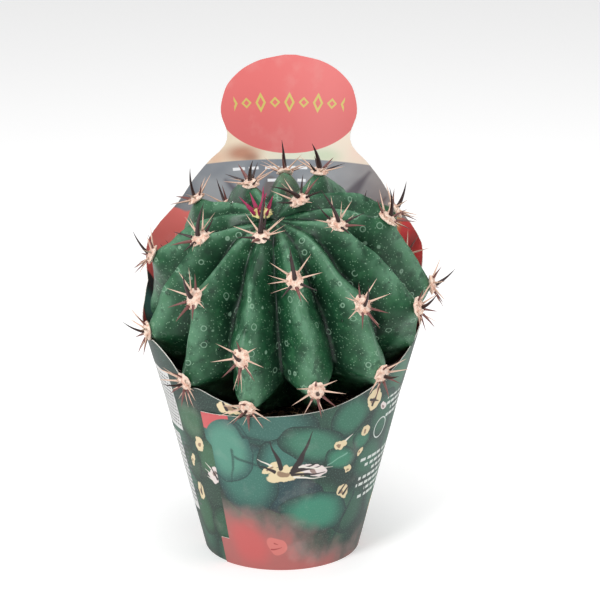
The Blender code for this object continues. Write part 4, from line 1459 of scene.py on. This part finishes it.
# lobes all round, then the large ones at the front, laid from the back of the picture forward
all_round = ramped(tree, cells.outputs["Distance"], 0.62, 0.12)
tint = mixed(tree, all_round, ink(22, 50, 42), ink(56, 112, 86))
front_lobes = [
    (185.0, 93.0, 30.0, 15.0, 4.0, ink(56, 106, 96), deep),
    (143.6, 94.0, 14.0, 13.0, 0.0, ink(52, 116, 92), deep),
    (120.0, 88.0, 13.0, 16.0, 0.0, ink(44, 98, 76), deep),
    (104.0, 72.0, 12.0, 20.0, 0.0, ink(40, 88, 70), deep),
    (124.0, 62.0, 16.0, 14.0, 10.0, ink(46, 100, 78), deep),
    (106.0, 40.0, 15.0, 18.0, 0.0, ink(42, 92, 72), deep),
    (176.0, 50.0, 28.0, 13.0, 8.0, ink(34, 66, 72), dusk),
    (197.0, 58.0, 22.0, 24.0, -8.0, teal, ink(28, 60, 62)),
    (176.0, 74.0, 18.0, 12.0, -14.0, ink(62, 118, 106), deep),
    (162.0, 80.5, 22.0, 11.5, 12.0, ink(62, 124, 100), deep),
    (146.5, 69.5, 12.0, 7.5, 16.0, ink(58, 132, 104), deep),
    (134.0, 77.0, 8.0, 6.0, 10.0, ink(56, 122, 96), deep),
    (206.0, 75.0, 17.0, 21.0, -4.0, light_teal, ink(38, 80, 78)),
    (133.0, 34.0, 20.0, 15.0, 14.0, ink(44, 92, 72), deep),
    (157.5, 37.0, 27.0, 13.0, 9.0, ink(58, 138, 112), ink(24, 58, 56)),
]
left_lobes = [
    (-152.0, 78.0, 15.0, 15.0, 0.0, ink(46, 98, 76), dark_leaf),
    (-131.0, 88.0, 14.0, 13.5, -14.0, leaf, dark_leaf),
    (-140.0, 66.0, 12.0, 14.0, 0.0, leaf, dark_leaf),
    (-125.0, 58.0, 11.0, 11.0, 20.0, ink(40, 74, 52), dark_leaf),
    (-140.0, 44.0, 15.0, 12.0, 0.0, ink(38, 66, 50), dark_leaf),
    (-124.0, 28.0, 14.0, 15.0, 20.0, ink(50, 98, 66), dark_leaf),
    (-142.0, 24.0, 12.0, 14.0, 20.0, ink(44, 88, 62), dark_leaf),
]
for turn, height, wide, tall, tilt, colour, shade in front_lobes + left_lobes:
    tint = printed_lobe(tree, sheet, tint, turn, height, wide, tall, tilt, colour, shade)

# dark creases between the lobes, and one bright reflection
for start, end, wide, narrow in [
    ((201.4, 93.0), (196.0, 84.0), 0.9, 0.9),
    ((196.0, 84.0), (182.0, 81.5), 0.9, 0.5),
    ((202.0, 72.5), (186.0, 66.5), 0.9, 0.5),
    ((203.0, 76.0), (205.0, 54.0), 0.9, 0.3),
    ((132.0, 44.0), (139.5, 25.0), 1.2, 0.9),
    ((139.5, 25.0), (146.0, 6.0), 1.0, 0.3),
]:
    crease = printed_stroke(tree, sheet, start, end, wide, narrow, 0.7)
    tint = washed(tree, tint, ink(24, 50, 50), crease, 0.7)
gleam = printed_stroke(tree, sheet, (154.0, 67.0), (143.0, 72.0), 0.3, 0.5, 0.35)
tint = washed(tree, tint, ink(150, 200, 180), gleam, 0.6)

# fine powdery grain of the magnified skin
powder = grained(tree, flat_map, 1.1, 6.0)
tint = mixed(tree, ramped(tree, powder, 0.52, 0.74, 0.0, 0.30), tint, ink(130, 178, 160))

# the coral ground that shows through towards the foot
drift = grained(tree, flat_map, 0.05, 3.0)
leftward = ramped(tree, sheet_x, 150.0, 244.0, -20.0, 10.0)
on_inner_lap = sums(tree, "LESS_THAN", sheet_x, -120.0)
fade_top = plus(tree, 28.0, leftward)
fade_top = sums(tree, "MULTIPLY_ADD", on_inner_lap, -16.0, fade_top)
fade_top = plus(tree, fade_top, ramped(tree, drift, 0.3, 0.7, -6.0, 6.0))
depth = minus(tree, fade_top, sheet_y)
tint = mixed(tree, ramped(tree, depth, -10.0, 9.0, 0.0, 0.74), tint, ink(150, 122, 116))
tint = mixed(tree, ramped(tree, depth, 2.0, 20.0, 0.0, 0.84), tint, ink(196, 106, 102))
flare = printed_oval(tree, sheet, 199.0, 17.0, 22.0, 19.0, 14.0, 0.7)
tint = washed(tree, tint, ink(214, 98, 96), flare, 0.85)
pale_flame = printed_oval(tree, sheet, 181.0, 17.0, 9.5, 6.0, 18.0, 0.12)
tint = mixed(tree, pale_flame, tint, ink(222, 126, 118))
for start, end in [((186.0, 15.0), (178.0, 16.5)), ((183.0, 19.5), (181.0, 19.0))]:
    tint = mixed(tree, printed_stroke(tree, sheet, start, end, 0.45, 0.2, 0.25), tint, ink(168, 60, 62))
corner = printed_oval(tree, plain_sheet, 216.0, 98.0, 17.0, 12.0, 24.0, 0.03)
outside_lobe = minus(tree, 1.0, printed_oval(tree, plain_sheet, 203.0, 74.0, 19.0, 20.5, 0.0, 0.03))
tint = mixed(tree, times(tree, corner, outside_lobe), tint, ink(212, 92, 94))

# areoles of the magnified cactus: cream felt, brown hearts, dark horns and pale needles
cream = ink(238, 218, 176)
brown = ink(112, 66, 48)
horn = ink(40, 26, 28)
pale = ink(238, 224, 220)
sharp = wavering(tree, flat_map, sheet, 4.5, 0.22, 20.0)
for turn, height, wide, tall, tilt, colour in [
    (175.0, 62.0, 13.0, 5.2, -8.0, cream),
    (183.0, 66.0, 6.5, 2.2, -28.0, cream),
    (161.0, 64.5, 9.5, 4.0, 14.0, pale),
    (147.6, 78.5, 4.6, 2.4, 14.0, cream),
    (140.0, 62.0, 3.4, 2.4, 24.0, cream),
    (134.2, 69.5, 2.2, 2.6, 30.0, cream),
    (141.1, 46.5, 5.0, 4.6, 40.0, cream),
    (132.0, 82.0, 3.2, 2.8, 20.0, cream),
    (131.0, 100.5, 6.0, 7.0, 0.0, cream),
    (122.0, 93.5, 4.0, 2.4, 30.0, pale),
    (96.0, 22.0, 5.0, 12.0, -10.0, cream),
    (-159.0, 101.5, 9.0, 4.4, 0.0, cream),
    (-134.5, 75.0, 3.4, 5.2, 30.0, cream),
    (-126.4, 60.2, 2.2, 4.0, 24.0, cream),
    (-143.1, 57.0, 6.0, 4.6, -40.0, pale),
    (-125.5, 42.0, 4.0, 6.0, 20.0, cream),
    (60.0, 92.0, 9.0, 5.0, 10.0, cream),
    (22.0, 58.0, 12.0, 6.0, -12.0, cream),
    (-24.0, 96.0, 8.0, 5.0, 8.0, cream),
    (-64.0, 52.0, 9.0, 5.0, 20.0, cream),
]:
    mask = printed_oval(tree, sharp, turn, height, wide, tall, tilt, 0.10)
    tint = mixed(tree, mask, tint, colour)
    heart = printed_oval(tree, sharp, turn + 0.6, height - 0.4, wide * 0.42, tall * 0.40, tilt + 12.0, 0.25)
    tint = washed(tree, tint, brown, heart, 0.75)
for start, end, wide, narrow in [
    ((177.5, 65.5), (183.0, 82.0), 1.7, 0.2),
    ((170.5, 64.0), (163.2, 88.5), 2.0, 0.15),
    ((171.5, 62.5), (158.0, 67.5), 1.2, 0.2),
    ((171.0, 61.0), (155.0, 62.5), 1.0, 0.3),
    ((168.0, 65.0), (161.0, 69.0), 0.9, 0.3),
    ((181.0, 63.0), (189.0, 68.0), 1.0, 0.1),
    ((143.0, 45.0), (138.0, 53.0), 0.9, 0.2),
    ((140.0, 44.5), (136.5, 51.0), 0.8, 0.2),
    ((132.0, 97.0), (130.0, 105.0), 1.0, 0.3),
    ((134.0, 101.0), (128.0, 99.0), 0.9, 0.3),
    ((-157.0, 100.0), (-156.0, 104.5), 1.0, 0.5),
    ((-163.0, 100.5), (-160.0, 102.0), 1.1, 0.5),
    ((-144.0, 54.0), (-140.0, 62.0), 0.8, 0.3),
    ((-147.0, 55.0), (-143.0, 59.0), 0.7, 0.3),
    ((-125.0, 40.0), (-128.0, 47.0), 0.8, 0.3),
    ((22.0, 58.0), (16.0, 80.0), 1.8, 0.15),
    ((18.0, 58.0), (30.0, 78.0), 1.6, 0.15),
    ((-64.0, 52.0), (-58.0, 72.0), 1.5, 0.15),
    ((60.0, 92.0), (66.0, 108.0), 1.4, 0.15),
    ((-24.0, 96.0), (-30.0, 114.0), 1.5, 0.15),
]:
    tint = mixed(tree, printed_stroke(tree, sheet, start, end, wide, narrow, 0.25), tint, horn)
for start, end, wide, narrow in [
    ((168.0, 66.5), (150.5, 65.5), 0.6, 0.1),
    ((170.0, 59.5), (154.0, 59.0), 0.6, 0.1),
    ((183.0, 67.0), (190.0, 72.0), 0.6, 0.1),
    ((144.5, 80.0), (140.5, 82.5), 0.7, 0.1),
    ((-140.0, 60.0), (-136.5, 64.0), 0.5, 0.1),
    ((-140.5, 56.0), (-136.5, 58.0), 0.5, 0.1),
    ((-141.0, 53.0), (-137.0, 53.5), 0.5, 0.1),
]:
    tint = mixed(tree, printed_stroke(tree, sheet, start, end, wide, narrow, 0.2), tint, ink(240, 234, 222))

# white note of plain bars and a ring at the right, and the white label with bars at the left
notes = printed_bars(tree, plain_sheet, 97.0, 37.0, 42.0, 28.0, 4.0, 6.2)
tint = washed(tree, tint, ink(232, 238, 232), notes, 0.9)
notes = printed_bars(tree, plain_sheet, 96.0, 84.0, 30.0, 14.0, 3.9, 5.4)
tint = washed(tree, tint, ink(232, 238, 232), notes, 0.9)
disc_out = printed_oval(tree, plain_sheet, 120.0, 80.0, 6.6, 6.6, 0.0, 0.08)
disc_in = printed_oval(tree, plain_sheet, 120.0, 80.0, 5.9, 5.9, 0.0, 0.08)
tint = mixed(tree, minus(tree, disc_out, disc_in), tint, ink(226, 234, 228))
narrowed = minus(tree, sheet_x, ramped(tree, sheet_y, 77.0, 75.0, 0.0, 8.0))
label_edge = times(tree, ramped(tree, narrowed, -147.5, -147.0), ramped(tree, sheet_x, -96.0, -96.5))
label_tall = times(tree, ramped(tree, sheet_y, 26.0, 26.5), ramped(tree, sheet_y, 112.0, 111.5))
label = times(tree, label_edge, label_tall)
gap_between = times(tree, ramped(tree, sheet_y, 73.0, 73.4), ramped(tree, sheet_y, 77.4, 77.0))
label = times(tree, label, minus(tree, 1.0, gap_between))
tint = mixed(tree, label, tint, ink(226, 226, 224))
bars = printed_bars(tree, plain_sheet, -122.0, 79.0, 30.0, 30.0, 2.2, 3.0)
tint = washed(tree, tint, ink(52, 54, 58), bars, 0.85)
bars = printed_bars(tree, plain_sheet, -122.0, 30.0, 30.0, 42.0, 2.9, 4.6)
tint = washed(tree, tint, ink(92, 96, 100), bars, 0.8)

# the whole picture is printed dark
tint = mixed(tree, 0.26, tint, ink(10, 18, 16))

# above the lobes, the back of the panel runs up through pale green to the coral head
haze = ramped(tree, plus(tree, sheet_y, ramped(tree, drift, 0.3, 0.7, -12.0, 12.0)), 150.0, 186.0)
tint = mixed(tree, haze, tint, ink(196, 206, 180))
tint = printed_header(tree, plain_sheet, tint)
finish_card(tree, shader, tint, place)
sleeve.data.materials.append(outer_print)

inner_print, tree, shader = new_finish("inner_print", 0.4)
flat_map = node(tree, "ShaderNodeUVMap", uv_map="UVMap").outputs["UV"]
place = object_place(tree)
split = node(tree, "ShaderNodeSeparateXYZ", {"Vector": flat_map})
sheet_x = split.outputs["X"]
sheet_y = split.outputs["Y"]
plain_sheet = (sheet_x, sheet_y)
sheet = wavering(tree, flat_map, plain_sheet, 6.0, 0.05, 3.0)
drift = grained(tree, flat_map, 0.045, 2.0)

# out-of-focus sky and stone under the head
tint = mixed(tree, ramped(tree, sheet_x, -30.0, 34.0), ink(222, 206, 182), ink(226, 212, 194))
for turn, height, wide, tall, colour, strength in [
    (4.0, 201.0, 22.0, 12.0, ink(204, 210, 190), 0.9),
    (12.0, 199.5, 9.0, 6.0, ink(176, 196, 162), 0.6),
    (-15.0, 201.0, 11.0, 7.5, ink(168, 106, 80), 0.85),
    (-12.0, 198.0, 5.0, 4.0, ink(140, 84, 62), 0.6),
    (-24.0, 199.0, 7.0, 8.0, ink(216, 176, 150), 0.7),
    (23.0, 203.0, 7.0, 9.0, ink(232, 206, 190), 0.7),
]:
    blur = printed_oval(tree, plain_sheet, turn, height, wide, tall, 0.0, 0.9)
    tint = mixed(tree, times(tree, blur, strength), tint, colour)
# grey band with its top edge almost level
band = ramped(tree, sheet_y, 197.2, 196.6)
band_tint = mixed(tree, ramped(tree, drift, 0.35, 0.65), ink(116, 122, 130), ink(146, 150, 154))
band_tint = mixed(tree, ramped(tree, sheet_x, 10.0, 46.0, 0.0, 0.6), band_tint, ink(138, 122, 116))
tint = mixed(tree, band, tint, band_tint)
for start, end, wide, narrow, colour in [
    ((-15.0, 174.0), (-21.5, 187.0), 2.4, 0.4, ink(70, 62, 74)),
    ((22.5, 180.0), (28.0, 193.0), 2.8, 0.5, ink(62, 52, 64)),
    ((33.0, 173.0), (36.5, 181.0), 2.2, 0.4, ink(84, 66, 66)),
    ((-8.0, 172.0), (-6.0, 186.0), 4.0, 1.5, ink(96, 84, 78)),
    ((10.0, 172.0), (8.0, 184.0), 4.0, 1.5, ink(104, 92, 84)),
]:
    shadow = printed_stroke(tree, plain_sheet, start, end, wide, narrow, 1.4)
    tint = washed(tree, tint, colour, shadow, 0.75)
words = printed_bars(tree, plain_sheet, -18.5, 190.6, 46.0, 3.4, 3.4, 6.5)
words = sums(tree, "MAXIMUM", words, printed_bars(tree, plain_sheet, -7.0, 183.6, 18.0, 3.4, 3.4, 6.0))
tint = washed(tree, tint, ink(232, 234, 236), words, 0.9)
# warm ground under the band: coral at the left, peach and yellow-green at the right, red beyond; lower down,
# coral and then a maroon that is painted shade
ground_top = plus(tree, 172.5, ramped(tree, drift, 0.3, 0.7, -1.5, 1.5))
ground_top = plus(tree, ground_top, ramped(tree, sheet_x, -44.0, -64.0, 0.0, 14.0))
ground = ramped(tree, minus(tree, ground_top, sheet_y), -0.8, 0.8)
warm = mixed(tree, ramped(tree, sheet_x, -40.0, 20.0), ink(232, 118, 112), ink(232, 168, 130))
spill = ramped(tree, plus(tree, sheet_x, ramped(tree, drift, 0.3, 0.7, -6.0, 6.0)), 26.0, 44.0)
warm = mixed(tree, spill, warm, ink(196, 190, 118))
warm = mixed(tree, ramped(tree, sheet_x, 50.0, 58.0), warm, ink(206, 66, 68))
warm = mixed(tree, ramped(tree, sheet_y, 164.0, 146.0), warm, ink(226, 96, 94))
# painted shade: the inner face darkens to maroon lower down, where the stem shades it
warm = mixed(tree, ramped(tree, sheet_y, 140.0, 108.0), warm, ink(136, 44, 50))
tint = mixed(tree, ground, tint, warm)
# a teal swelling with a dark edge at the far left
swelling = printed_oval(tree, sheet, -74.0, 128.0, 14.0, 26.0, 0.0, 0.08)
core = printed_oval(tree, sheet, -77.0, 126.0, 12.0, 24.0, 0.0, 0.6)
teal_part = mixed(tree, core, ink(30, 52, 52), ink(70, 132, 124))
tint = mixed(tree, swelling, tint, teal_part)
low = ramped(tree, sheet_y, 104.0, 96.0)
tint = mixed(tree, low, tint, ink(214, 206, 194))
tint = printed_header(tree, plain_sheet, tint)
finish_card(tree, shader, tint, place)
sleeve.data.materials.append(inner_print)

cut_edge, tree, shader = new_finish("cut_card_edge", 0.8)
place = object_place(tree)
layers = grained(tree, place, 900.0, 3.0)
tint = mixed(tree, ramped(tree, layers, 0.35, 0.70), ink(240, 238, 232), ink(208, 202, 192))
tree.links.new(tint, shader.inputs["Base Color"])
sleeve.data.materials.append(cut_edge)

take_up(sleeve)
bpy.ops.object.modifier_apply(modifier="card_thickness")
bpy.ops.object.shade_smooth_by_angle(angle=math.radians(40.0))
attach(sleeve, "root")
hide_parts("card_sleeve")
